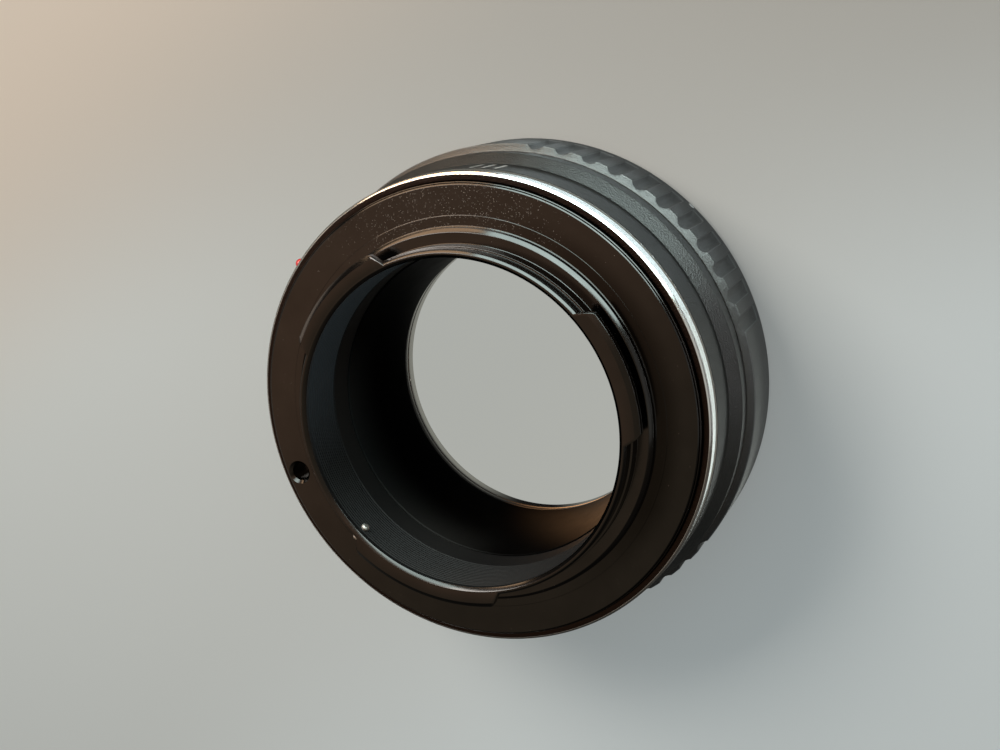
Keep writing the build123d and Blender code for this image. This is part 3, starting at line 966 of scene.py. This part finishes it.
    def tab(self, start: float, end: float) -> bpy.types.Object:
        """One bayonet tab with leaning flanks, rounded corners and eased edges.

        Args:
            start: the angle of its first root, in degrees.
            end: the angle of its last root.

        Returns:
            The solid tab, its root inside the tube's wall.
        """
        root = self.tab_root()
        top = self.tube_top + self.tab_lift
        section = [
            Corner(root, self.tab_rear),
            Corner(self.tab_r, self.tab_rear),
            Corner(self.tab_r, self.tab_edge),
            Corner(self.tab_slope_r, top),
            Corner(root, top),
        ]
        piece = Bench.turn("tab", section, optical(start), int(end - start), end - start)
        self.lean_flanks(piece, start, end)
        self.round_corners(piece, start, end)
        Bench.ease_edges(piece, self.tab_ease, 3)
        return piece

    def build(self) -> None:
        """Models the plate and its pin, and dresses them."""
        plate = Bench.turn("camera_plate", self.section(), optical(), WALL_STEPS)
        for start, end in self.tab_angles:
            Bench.combine(plate, self.tab(start, end), Join.ADD)
        bottom = self.face - self.hole_depth
        mouth = self.hole_r + self.hole_chamfer
        hole = [
            Corner(0.0, bottom),
            Corner(self.hole_r, bottom),
            Corner(self.hole_r, self.face - self.hole_chamfer),
            Corner(mouth, self.face),
            Corner(mouth, self.face + OVERCUT),
            Corner(0.0, self.face + OVERCUT),
        ]
        axis = parallel(self.hole_circle, self.hole_angle)
        Bench.combine(plate, Bench.turn("hole", hole, axis, 48), Join.CUT)
        axis = radial(self.pin_angle, self.pin_z)
        seat = oblong(0.0, self.pin_r + self.pin_slip, self.bore_r - OVERCUT, self.tab_r + OVERCUT)
        Bench.combine(plate, Bench.turn("seat", seat, axis, PIN_STEPS), Join.CUT)
        Bench.settle(plate, Body.FIXED, "black_chrome", "bayonet_plate", BLACK_PLATING)
        tip = self.bore_r - self.pin_rise
        pin = soften([
            Corner(0.0, tip),
            Corner(self.pin_r * self.pin_flat_share, tip, 0.2),
            Corner(self.pin_r, tip + self.pin_crown, 0.12),
            Corner(self.pin_r, self.pin_end - self.pin_chamfer),
            Corner(self.pin_r - self.pin_chamfer, self.pin_end),
            Corner(0.0, self.pin_end),
        ])
        piece = Bench.turn("stop_pin_steel", pin, axis, PIN_STEPS)
        Bench.settle(piece, Body.FIXED, "steel", "stop_pin", PIN_STEEL)


@dataclass
class Barrel:
    """The outer barrel with its bright rim band, cove and collar, its red bead and its plain marks."""

    cavity_r: float = 25.4
    web_bore_r: float = 21.45
    recess_r: float = 28.85
    recess_chamfer: float = 0.1
    rim_r: float = 29.9
    rim_face: float = 23.05
    rim_chamfer: float = 0.3
    bright_end: float = 20.95
    bright_foot: float = 0.3
    bright_spare: float = 0.12
    wall_spare: float = 0.15
    flare_spare: float = 0.1
    band_r: float = 30.05
    band_end: float = 14.80
    collar_r: float = 31.29
    collar_front: float = 13.0
    collar_end: float = 10.5
    collar_chamfer: float = 0.26
    sleeve_r: float = 28.4
    sleeve_end: float = 5.6
    web_front: float = 21.4
    web_back: float = 18.8
    bead_angle: float = 139.2
    bead_z: float = 22.03
    bead_r: float = 0.62
    bead_rise: float = 0.6
    bead_slip: float = 0.03
    bead_foot: float = 0.15
    slot_start: float = 232.0
    slot_sweep: float = 40.0
    slot_z: float = 8.225
    slot_r: float = 1.3
    cut_reach: float = 0.5
    mark_angles: tuple[float, ...] = (81.0, 84.0, 87.0)
    mark_span: float = 0.9
    mark_low: float = 15.9
    mark_high: float = 19.6
    mark_rise: float = 0.012
    mark_root: float = 0.03

    def on_flare(self, share: float) -> Corner:
        """A point on the slope from the band to the collar.

        Args:
            share: how far along the slope it is, from 0 to 1.

        Returns:
            The point, as a corner of the section.
        """
        return Corner(
            self.band_r + (self.collar_r - self.band_r) * share,
            self.band_end + (self.collar_front - self.band_end) * share,
        )

    def section(self) -> list[Corner]:
        """The turned section of the barrel, with spare corners that keep its walls' shading true.

        Returns:
            The section's corners, from the sleeve's bore round to its end, rounded.
        """
        return soften([
            Corner(self.cavity_r, self.sleeve_end),
            Corner(self.cavity_r, self.web_back),
            Corner(self.web_bore_r, self.web_back),
            Corner(self.web_bore_r, self.web_front),
            Corner(self.recess_r, self.web_front),
            Corner(self.recess_r, self.rim_face - self.recess_chamfer, 0.02),
            Corner(self.recess_r + self.recess_chamfer, self.rim_face, 0.02),
            Corner(self.rim_r - self.rim_chamfer, self.rim_face, 0.04),
            Corner(self.rim_r, self.rim_face - self.rim_chamfer, 0.1),
            Corner(self.rim_r, self.rim_face - self.rim_chamfer - self.wall_spare),
            Corner(self.rim_r, self.bright_end + self.bright_spare),
            Corner(self.rim_r, self.bright_end, 0.05),
            Corner(self.band_r, self.bright_end - self.bright_foot, 0.08),
            Corner(self.band_r, self.bright_end - self.bright_foot - self.wall_spare),
            Corner(self.band_r, self.band_end + self.wall_spare),
            Corner(self.band_r, self.band_end, 0.08),
            self.on_flare(self.flare_spare),
            self.on_flare(1.0 - self.flare_spare),
            Corner(self.collar_r, self.collar_front, 0.08),
            Corner(self.collar_r, self.collar_front - self.wall_spare),
            Corner(self.collar_r, self.collar_end + self.collar_chamfer, 0.06),
            Corner(self.collar_r - self.collar_chamfer, self.collar_end, 0.04),
            Corner(self.sleeve_r, self.collar_end),
            Corner(self.sleeve_r, self.sleeve_end),
        ])

    def build(self) -> None:
        """Models the barrel, its bead and its marks, and dresses them."""
        barrel = Bench.turn("barrel", self.section(), optical(), WALL_STEPS)
        spare = math.degrees(self.slot_r / self.cavity_r)
        sweep = self.slot_sweep + 2 * spare
        slot = oblong(
            self.cavity_r - self.cut_reach,
            self.sleeve_r + self.cut_reach,
            self.slot_z - self.slot_r,
            self.slot_z + self.slot_r,
        )
        axis = optical(self.slot_start - spare)
        Bench.combine(barrel, Bench.turn("slot", slot, axis, 40, sweep), Join.CUT)
        seat = oblong(0.0, self.bead_r + self.bead_slip, self.recess_r - OVERCUT, self.rim_r + self.cut_reach)
        axis = radial(self.bead_angle, self.bead_z)
        Bench.combine(barrel, Bench.turn("seat", seat, axis, HOLE_STEPS), Join.CUT)
        Bench.settle(barrel, Body.FIXED, "black_anodised", "main_barrel", BARREL_ANODISING)
        self.bead()
        self.marks()

    def bead(self) -> None:
        """The red bead: a short plug with a domed head."""
        dome = (self.bead_r ** 2 + self.bead_rise ** 2) / (2 * self.bead_rise)
        top = self.rim_r + self.bead_rise - dome
        widest = math.asin(self.bead_r / dome)
        if self.bead_rise > dome:
            widest = math.pi - widest
        steps = 8
        head = [
            Corner(dome * math.sin(widest * step / steps), top + dome * math.cos(widest * step / steps))
            for step in range(steps + 1)
        ]
        foot = self.recess_r + self.bead_foot
        section = [*head, Corner(self.bead_r, foot), Corner(0.0, foot)]
        piece = Bench.turn("red_bead", section, radial(self.bead_angle, self.bead_z), HOLE_STEPS)
        Bench.settle(piece, Body.FIXED, "red_enamel", "index_bead", RED_ENAMEL)

    def marks(self) -> None:
        """Plain white index lines on the marking band."""
        low, high = self.band_r - self.mark_root, self.band_r + self.mark_rise
        skin = oblong(low, high, self.mark_low, self.mark_high)
        line = Bench.turn("band_mark", skin, optical(), 3, self.mark_span)
        piece = Bench.copies(line, self.mark_angles)
        Bench.settle(piece, Body.FIXED, "white_slip", None, WHITE_MARK)


@dataclass
class Lining:
    """The matt tube that lines the far part of the light path."""

    front_r: float = 20.35
    back_r: float = 19.3
    outer_r: float = 20.95
    front: float = 17.75
    back: float = 3.0
    mouth_chamfer: float = 0.1
    mouth_taper: float = 0.01

    def build(self) -> None:
        """Models the lining and dresses it."""
        section = soften([
            Corner(self.back_r, self.back, 0.04),
            Corner(self.outer_r, self.back),
            Corner(self.outer_r, self.front),
            Corner(self.front_r + self.mouth_chamfer, self.front),
            Corner(self.front_r - self.mouth_taper, self.front - self.mouth_chamfer - self.mouth_taper, 0.03),
        ])
        piece = Bench.turn("lining", section, optical(), 256)
        Bench.settle(piece, Body.FIXED, "matt_black", "inner_baffle", MATT_LINING)


@dataclass
class LensPlate:
    """The bright plate that takes the lens: base, neck, three lugs, throat and the lever's window."""

    throat_r: float = 19.5
    neck_r: float = 24.5
    neck_front: float = 4.4
    base_r: float = 29.6
    base_top: float = 5.6
    seat_r: float = 21.0
    throat_front: float = 3.0
    throat_line: float = 1.7
    line_half: float = 0.16
    line_depth: float = 0.09
    chamfer: float = 0.2
    lug_r: float = 26.9
    lug_thick: float = 1.6
    lug_chamfer: float = 0.25
    lug_lift: float = 0.002
    lug_ease: float = 0.08
    lug_angles: tuple[float, ...] = (30.0, 150.0, 270.0)
    lug_span: float = 60.0
    window: tuple[float, float] = (21.9, 23.7)
    window_span: tuple[float, float] = (228.2, 275.8)
    screw_circle: float = 26.9
    screw_angles: tuple[float, ...] = (90.0, 210.0, 330.0)
    screw_r: float = 0.8
    sink_r: float = 1.35
    index_circle: float = 22.8
    index_angle: float = 139.2
    index_r: float = 0.8
    index_chamfer: float = 0.12
    index_depth: float = 2.0

    def section(self) -> list[Corner]:
        """The turned section of the plate, with the fine line in its throat.

        Returns:
            The section's corners, rounded.
        """
        return soften([
            Corner(self.throat_r + self.chamfer, 0.0, 0.03),
            Corner(self.neck_r, 0.0, 0.06),
            Corner(self.neck_r, self.neck_front, 0.1),
            Corner(self.base_r, self.neck_front, 0.08),
            Corner(self.base_r, self.base_top),
            Corner(self.seat_r, self.base_top),
            Corner(self.seat_r, self.throat_front),
            Corner(self.throat_r + self.chamfer, self.throat_front, 0.08),
            Corner(self.throat_r, self.throat_front - self.chamfer, 0.08),
            Corner(self.throat_r, self.throat_line + self.line_half, 0.03),
            Corner(self.throat_r + self.line_depth, self.throat_line, 0.05),
            Corner(self.throat_r, self.throat_line - self.line_half, 0.03),
            Corner(self.throat_r, self.chamfer, 0.03),
        ])

    def add_lugs(self, plate: bpy.types.Object) -> None:
        """Adds the outward lugs that the lens's collar grips.

        Args:
            plate: the turned plate.
        """
        root = (self.seat_r + self.neck_r) / 2
        section = [
            Corner(root, self.lug_lift),
            Corner(self.lug_r - self.lug_chamfer, self.lug_lift),
            Corner(self.lug_r, self.lug_chamfer),
            Corner(self.lug_r, self.lug_thick),
            Corner(root, self.lug_thick),
        ]
        for angle in self.lug_angles:
            lug = Bench.turn("lug", section, optical(angle - self.lug_span / 2), 48, self.lug_span)
            Bench.ease_edges(lug, self.lug_ease)
            Bench.combine(plate, lug, Join.ADD)

    def cut_holes(self, plate: bpy.types.Object) -> None:
        """Cuts the lever's window, the sunk screw holes and the index hole.

        Args:
            plate: the plate with its lugs.
        """
        start, end = self.window_span
        opening = oblong(*self.window, -OVERCUT, self.base_top + OVERCUT)
        Bench.combine(plate, Bench.turn("window", opening, optical(start), 40, end - start), Join.CUT)
        sink = [
            Corner(0.0, self.neck_front - OVERCUT),
            Corner(self.sink_r, self.neck_front - OVERCUT),
            Corner(self.sink_r, self.neck_front),
            Corner(self.screw_r, self.neck_front + self.sink_r - self.screw_r),
            Corner(self.screw_r, self.base_top + OVERCUT),
            Corner(0.0, self.base_top + OVERCUT),
        ]
        hole = Bench.turn("sink", sink, parallel(self.screw_circle, 0.0), HOLE_STEPS)
        Bench.combine(plate, Bench.copies(hole, self.screw_angles), Join.CUT)
        mouth = self.index_r + self.index_chamfer
        index = [
            Corner(0.0, -OVERCUT),
            Corner(mouth, -OVERCUT),
            Corner(mouth, 0.0),
            Corner(self.index_r, self.index_chamfer),
            Corner(self.index_r, self.index_depth),
            Corner(0.0, self.index_depth),
        ]
        axis = parallel(self.index_circle, self.index_angle)
        Bench.combine(plate, Bench.turn("index", index, axis, PIN_STEPS), Join.CUT)

    def build(self) -> None:
        """Models the lens plate and dresses it."""
        plate = Bench.turn("lens_plate", self.section(), optical(), WALL_STEPS)
        self.add_lugs(plate)
        self.cut_holes(plate)
        Bench.settle(plate, Body.FIXED, "bright_plate", "lens_mount_plate", BRIGHT_METAL)


@dataclass
class GripRing:
    """The lock ring with its three groups of flutes, its drive screw's hole and its white marks."""

    ring_r: float = 32.15
    bore_r: float = 28.45
    skirt_r: float = 30.0
    front: float = 10.35
    front_r: float = 31.29
    end: float = 0.3
    shoulder: float = 6.1
    back_chamfer: float = 0.45
    edge_ease: float = 0.05
    edge_angle: float = 30.0
    flute_r: float = 1.4
    flute_depth: float = 0.5
    flute_runout: float = 1.45
    flute_end: float = 1.85
    flute_spare: float = 0.2
    flute_pitch: float = 6.44
    flute_count: int = 11
    group_angles: tuple[float, ...] = (47.0, 167.0, 287.0)
    screw_angle: float = 232.0
    screw_z: float = 8.225
    screw_r: float = 1.03
    cut_reach: float = 0.5
    dot_angle: float = 43.3
    dot_z: float = 1.2
    dot_r: float = 0.43
    dot_root: float = 0.1
    dot_rise: float = 0.012
    dot_crown: float = 0.02

    def flute(self) -> bpy.types.Object:
        """The cutter of one flute: a round bar cut off on the slope by which the flute runs out.

        Returns:
            The solid to cut away, at the angle 0.
        """
        bar = oblong(0.0, self.flute_r, self.flute_end - self.flute_spare, self.front + self.cut_reach)
        axis = parallel(self.ring_r - self.flute_depth + self.flute_r, 0.0)
        cutter = Bench.turn("flute", bar, axis, 64)
        bpy.ops.object.mode_set(mode="EDIT")
        bpy.ops.mesh.select_all(action="SELECT")
        bpy.ops.mesh.bisect(
            plane_co=Vector((self.ring_r, 0.0, self.flute_end)) * MM,
            plane_no=Vector((self.flute_runout, 0.0, self.flute_depth)).normalized(),
            use_fill=True,
            clear_inner=True,
        )
        bpy.ops.mesh.select_all(action="SELECT")
        bpy.ops.mesh.normals_make_consistent(inside=False)
        bpy.ops.object.mode_set(mode="OBJECT")
        return cutter

    def build(self) -> None:
        """Models the ring and its marks, and dresses them."""
        section = soften([
            Corner(self.bore_r, self.front),
            Corner(self.front_r, self.front, 0.08),
            Corner(self.ring_r, self.front - (self.ring_r - self.front_r), 0.06),
            Corner(self.ring_r, self.end + self.back_chamfer, 0.12),
            Corner(self.ring_r - self.back_chamfer, self.end, 0.12),
            Corner(self.skirt_r, self.end, 0.06),
            Corner(self.skirt_r, self.shoulder),
            Corner(self.bore_r, self.shoulder),
        ])
        ring = Bench.turn("grip_ring", section, optical(), 360)
        angles = [
            group + self.flute_pitch * (index - (self.flute_count - 1) / 2)
            for group in self.group_angles
            for index in range(self.flute_count)
        ]
        Bench.combine(ring, Bench.copies(self.flute(), angles), Join.CUT)
        hole = oblong(0.0, self.screw_r, self.bore_r - self.cut_reach, self.ring_r + self.cut_reach)
        axis = radial(self.screw_angle, self.screw_z)
        Bench.combine(ring, Bench.turn("hole", hole, axis, HOLE_STEPS), Join.CUT)
        Bench.ease_edges(ring, self.edge_ease, 2, self.edge_angle)
        Bench.settle(ring, Body.RING, "grip_anodised", "lock_ring", GRIP_ANODISING)
        dot = soften([
            Corner(0.0, self.ring_r + self.dot_crown),
            Corner(self.dot_r, self.ring_r + self.dot_rise, 0.03),
            Corner(self.dot_r, self.ring_r - self.dot_root),
            Corner(0.0, self.ring_r - self.dot_root),
        ])
        piece = Bench.turn("ring_dot", dot, radial(self.dot_angle, self.dot_z), PIN_STEPS)
        Bench.settle(piece, Body.RING, "white_slip", None, WHITE_MARK)


@dataclass
class HiddenParts:
    """The CAD nodes inside and on the lens side that keep their own shape."""

    finishes: tuple[tuple[str, Finish], ...] = (
        ("bayonet_screws", STEEL),
        ("lens_mount_screws", STEEL),
        ("slide_washer", SLIP_WASHER),
        ("drive_screw", STEEL),
        ("drive_lever", STEEL),
    )

    def dress(self) -> None:
        """Gives each kept node its finish."""
        for name, finish in self.finishes:
            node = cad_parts[name]
            node.data.materials.clear()
            node.data.materials.append(finish.material())
            LOG.info("%s: kept from the frame", name)


@dataclass(frozen=True)
class Lamp:
    """A soft lamp that faces the object.

    Its bearing and its height above the floor are in degrees, as seen from the object, and its width
    and height are in millimetres. One that shows in gloss alone acts as a reflector card does.
    """

    name: str
    bearing: float
    height: float
    size: tuple[float, float]
    glow: float
    hue: Colour
    gloss_alone: bool = True


@dataclass
class Studio:
    """The pale floor, the soft lights and the camera."""

    eye: tuple[float, float, float] = (65.464, 39.485, 163.940)
    right: tuple[float, float, float] = (0.920820, -0.092476, -0.378864)
    up: tuple[float, float, float] = (0.0, 0.971479, -0.237126)
    lens: float = 46.630
    sensor: float = 36.0
    clip_metres: tuple[float, float] = (0.002, 20.0)
    floor_width: float = 4000.0
    floor_drop: float = 0.02
    # The floor's glow and colours, graded by place as painted light and shade, and paler with more glow in
    # the middle as painted light under the light path.
    floor_glow: float = 0.30
    middle_glow: float = 0.65
    floor_colour: Colour = (0.54, 0.535, 0.505)
    near_colour: Colour = (0.66, 0.68, 0.665)
    far_colour: Colour = (0.415, 0.385, 0.345)
    warm_colour: Colour = (0.54, 0.45, 0.37)
    through_colour: Colour = (0.43, 0.44, 0.41)
    # Painted reflections and highlights: colours that the floor shows to glossy rays alone, zone by zone.
    mirror_dim: Colour = (0.05, 0.07, 0.068)
    mirror_plain: Colour = (1.30, 1.40, 1.32)
    mirror_bright: Colour = (1.45, 1.68, 1.72)
    mirror_warm: Colour = (0.21, 0.125, 0.08)
    mirror_brown: Colour = (1.15, 0.60, 0.28)
    mirror_throat: Colour = (0.008, 0.008, 0.008)
    mirror_ring: Colour = (0.18, 0.19, 0.185)
    mirror_band: Colour = (0.10, 0.10, 0.09)
    mirror_far: Colour = (0.17, 0.155, 0.13)
    mirror_low: Colour = (0.03, 0.027, 0.023)
    mirror_rim: Colour = (0.27, 0.275, 0.25)
    mirror_flare: Colour = (2.5, 3.1, 3.0)
    mirror_pale: Colour = (1.3, 1.05, 0.85)
    pale_angle: float = 163.0
    view_angle: float = math.radians(32.0)
    room_dark: Colour = (0.06, 0.05, 0.042)
    room_low: Colour = (0.30, 0.235, 0.165)
    room_high: Colour = (0.70, 0.44, 0.29)
    room_light: Colour = (0.24, 0.30, 0.325)
    room_seen: Colour = (0.50, 0.48, 0.45)
    bright_angle: float = 58.0
    mirror_lean: float = 4.73
    past_wall: tuple[float, float] = (33.6, 34.2)
    under_wall: tuple[float, float] = (31.9, 31.7)
    under_band: tuple[float, float] = (30.7, 30.4)
    # Where each zone of the floor starts and is full, in millimetres or as a share of the radius.
    through_zone: tuple[float, float] = (24.0, 21.0)
    far_zone: tuple[float, float] = (0.0, 60.0)
    near_zone: tuple[float, float] = (-20.0, 75.0)
    warm_zone: tuple[float, float] = (40.0, 105.0)
    warm_slope: float = 0.6
    pale_zone: tuple[float, float] = (150.0, 240.0)
    plain_side: tuple[float, float] = (-0.92, -0.70)
    warm_side: tuple[float, float] = (0.10, -0.10)
    low_side: tuple[float, float] = (-0.80, -0.45)
    away_zone: tuple[float, float] = (45.0, 65.0)
    flare_zone: tuple[float, float] = (90.0, 150.0)
    rim_zone: tuple[float, float] = (18.3, 18.9)
    rim_left: tuple[float, float] = (-4.0, -12.0)
    rim_right: tuple[float, float] = (0.0, 6.0)
    brown_zone: tuple[float, float] = (18.8, 17.6)
    brown_right: tuple[float, float] = (-7.0, 3.0)
    brown_low: tuple[float, float] = (-2.0, -12.0)
    lamp_distance: float = 300.0
    centre: tuple[float, float, float] = (0.0, 0.0, 20.0)
    lamps: tuple[Lamp, ...] = (
        Lamp("cool_window", 64.0, 14.0, (390.0, 120.0), 9.5, (0.82, 1.0, 0.97)),
        Lamp("cool_upper", 80.0, 31.0, (300.0, 62.0), 6.5, (0.82, 1.0, 0.97)),
        Lamp("warm_lamp", 120.0, 7.0, (226.0, 85.0), 5.5, (1.0, 0.65, 0.39)),
        Lamp("side_wall", 0.0, 19.0, (240.0, 60.0), 0.35, (0.96, 1.0, 0.98)),
        Lamp("side_card", 12.0, 0.0, (380.0, 14.0), 7.0, (1.0, 1.0, 1.0)),
        Lamp("high_fill", 127.0, 42.0, (160.0, 160.0), 10.5, (1.0, 0.96, 0.90), False),
    )

    def floor(self) -> None:
        """A wide pale floor that keeps the shadow: to the eye it glows in colours graded by place, painted
        light and shade, and to metal it shows painted reflections.
        """
        Bench.clear()
        bpy.ops.mesh.primitive_plane_add(
            size=self.floor_width * MM, location=(0.0, 0.0, -self.floor_drop * MM)
        )
        floor = bpy.context.active_object
        floor.name = floor.data.name = "floor"
        bpy.ops.object.transform_apply(location=True, rotation=True, scale=True)
        made = bpy.data.materials.new("floor_card")
        made.use_nodes = True
        graph = Graph(made.node_tree)
        at = graph.place()
        # The patch under the light path is painted paler and glows more: painted light where the object's
        # shade falls.
        middle = graph.step(at.r, *self.through_zone)
        cloud = graph.noise(at.spot, 0.01, 2.0)
        # Painted light and shade across the floor: paler towards one corner, darker towards the far side and
        # warmer towards the far left.
        far = graph.step(at.y, *self.far_zone) + (cloud - 0.5) * 0.2
        near = graph.step(at.x - at.y, *self.near_zone)
        colour = graph.blend(near, self.floor_colour, self.near_colour)
        colour = graph.blend(far, colour, self.far_colour)
        warm = graph.step(at.y - self.warm_slope * at.x, *self.warm_zone)
        colour = graph.blend(warm, colour, self.warm_colour)
        colour = graph.blend(middle, colour, self.through_colour)
        seen = graph.node("ShaderNodeLightPath", output="Is Camera Ray")
        glossy = graph.node("ShaderNodeLightPath", output="Is Glossy Ray")
        through = graph.node("ShaderNodeLightPath", output="Is Transmission Ray")
        lit = graph.node("ShaderNodeBsdfDiffuse", None, {"Color": colour})
        shown = graph.blend(glossy, colour, self.mirrored(graph, at, middle))
        glow = graph.node("ShaderNodeEmission", None, {"Color": shown, "Strength": 1.0})
        share = (seen.most(through) * (self.floor_glow + middle * self.middle_glow)).most(glossy)
        face = graph.node("ShaderNodeMixShader", None, {0: share, 1: lit, 2: glow})
        under = graph.node("ShaderNodeNewGeometry", output="Backfacing")
        clear = graph.node("ShaderNodeBsdfTransparent")
        both = graph.node("ShaderNodeMixShader", None, {0: under, 1: face, 2: clear})
        graph.node("ShaderNodeOutputMaterial", None, {"Surface": both})
        floor.data.materials.append(made)

    def mirrored(self, graph: Graph, at: Place, middle: Value) -> Value:
        """Painted reflections: the floor as metal shows it, zone by zone.

        The bright wall, the plain band and the ring each mirror a zone of their own close to the object,
        the flange's edges mirror the far floor, and the lining and the throat mirror the patch in the middle.

        Args:
            graph: the floor's nodes.
            at: the point's place on the floor.
            middle: the share of the patch under the light path.

        Returns:
            The colour that reflections take up.
        """
        bright = graph.wedge(at, self.bright_angle, 45.0, 15.0)
        pale = graph.wedge(at, self.pale_angle, 14.0, 10.0) * graph.step(at.r, *self.pale_zone)
        plain = graph.blend(graph.step(at.y / at.r, *self.plain_side), self.mirror_dim, self.mirror_plain)
        plain = graph.blend(graph.step(at.x / at.r, *self.warm_side), plain, self.mirror_warm)
        shown = graph.blend(bright, plain, self.mirror_bright)
        lean = (at.x * math.cos(self.view_angle) + at.y * math.sin(self.view_angle)) / at.r
        reach = at.r - lean * self.mirror_lean
        shown = graph.blend(graph.step(reach, *self.past_wall), shown, self.mirror_band)
        shown = graph.blend(graph.step(reach, *self.under_wall), shown, self.mirror_band)
        shown = graph.blend(graph.step(reach, *self.under_band), shown, self.mirror_ring)
        away = graph.blend(graph.step(at.y / at.r, *self.low_side), self.mirror_low, self.mirror_far)
        shown = graph.blend(graph.step(at.r, *self.away_zone), shown, away)
        flare = graph.wedge(at, self.bright_angle, 25.0, 18.0) * graph.step(at.r, *self.flare_zone)
        shown = graph.blend(flare, shown, self.mirror_flare)
        shown = graph.blend(pale, shown, self.mirror_pale)
        sides = graph.step(at.x, *self.rim_left).most(graph.step(at.x, *self.rim_right) * 0.7)
        rim = graph.step(at.r, *self.rim_zone) * sides
        shown = graph.blend(middle, shown, graph.blend(rim, self.mirror_throat, self.mirror_rim))
        brown = graph.step(at.r, *self.brown_zone) * graph.step(at.x, *self.brown_right)
        brown = brown * graph.step(at.y, *self.brown_low)
        return graph.blend(brown, shown, self.mirror_brown)

    def hang(self, lamp: Lamp) -> None:
        """Hangs one lamp, hidden from the camera.

        Args:
            lamp: its aim, size and light.
        """
        light = bpy.data.lights.new(lamp.name, "AREA")
        light.shape = "RECTANGLE"
        light.size, light.size_y = (length * MM for length in lamp.size)
        light.energy = lamp.glow * math.pi * light.size * light.size_y
        light.color = lamp.hue
        height = math.radians(lamp.height)
        away = ray(lamp.bearing) * math.cos(height) + Vector((0, 0, math.sin(height)))
        turn = (-away).to_track_quat("-Z", "Y").to_matrix().to_4x4()
        spot = (Vector(self.centre) + away * self.lamp_distance) * MM
        made = bpy.data.objects.new(lamp.name, light)
        made.matrix_world = Matrix.Translation(spot) @ turn
        made.visible_camera = False
        made.visible_diffuse = not lamp.gloss_alone
        bpy.context.collection.objects.link(made)

    def world(self) -> None:
        """Even room light, pale to the eye."""
        world = bpy.data.worlds.new("room")
        bpy.context.scene.world = world
        world.use_nodes = True
        graph = Graph(world.node_tree)
        seen = graph.node("ShaderNodeLightPath", output="Is Camera Ray")
        glossy = graph.node("ShaderNodeLightPath", output="Is Glossy Ray")
        toward = Place(graph, graph.node("ShaderNodeTexCoord", output="Object"))
        warm = graph.step(toward.y - self.warm_slope * toward.x, -0.25, 0.25)
        room = graph.blend(warm, self.room_low, self.room_high)
        room = graph.blend(graph.step(toward.z, 0.15, 0.65), self.room_dark, room)
        colour = graph.blend(glossy, self.room_light, room)
        colour = graph.blend(seen, colour, self.room_seen)
        light = graph.node("ShaderNodeBackground", None, {"Color": colour, "Strength": 1.0})
        graph.node("ShaderNodeOutputWorld", None, {"Surface": light})

    def camera(self) -> None:
        """The camera at the photograph's angle."""
        lens = bpy.data.cameras.new("camera")
        lens.lens = self.lens
        lens.sensor_width = self.sensor
        lens.sensor_fit = "HORIZONTAL"
        lens.clip_start, lens.clip_end = self.clip_metres
        eye = bpy.data.objects.new("camera", lens)
        right, up = Vector(self.right).normalized(), Vector(self.up).normalized()
        turn = Matrix((right, up, right.cross(up))).transposed().to_4x4()
        eye.matrix_world = Matrix.Translation(Vector(self.eye) * MM) @ turn
        bpy.context.collection.objects.link(eye)
        bpy.context.scene.camera = eye

    def build(self) -> None:
        """Sets the floor, the lights and the camera."""
        self.floor()
        self.world()
        for lamp in self.lamps:
            self.hang(lamp)
        self.camera()
        bpy.context.scene.view_settings.view_transform = "Standard"


def main() -> None:
    """Builds the pieces in order, from the camera plate to the grip ring, and then the studio."""
    logging.basicConfig(level=logging.INFO, format="%(name)s %(message)s")
    for part in (CameraPlate(), Barrel(), Lining(), LensPlate(), GripRing()):
        part.build()
    HiddenParts().dress()
    Studio().build()


if __name__ == "__main__":
    main()
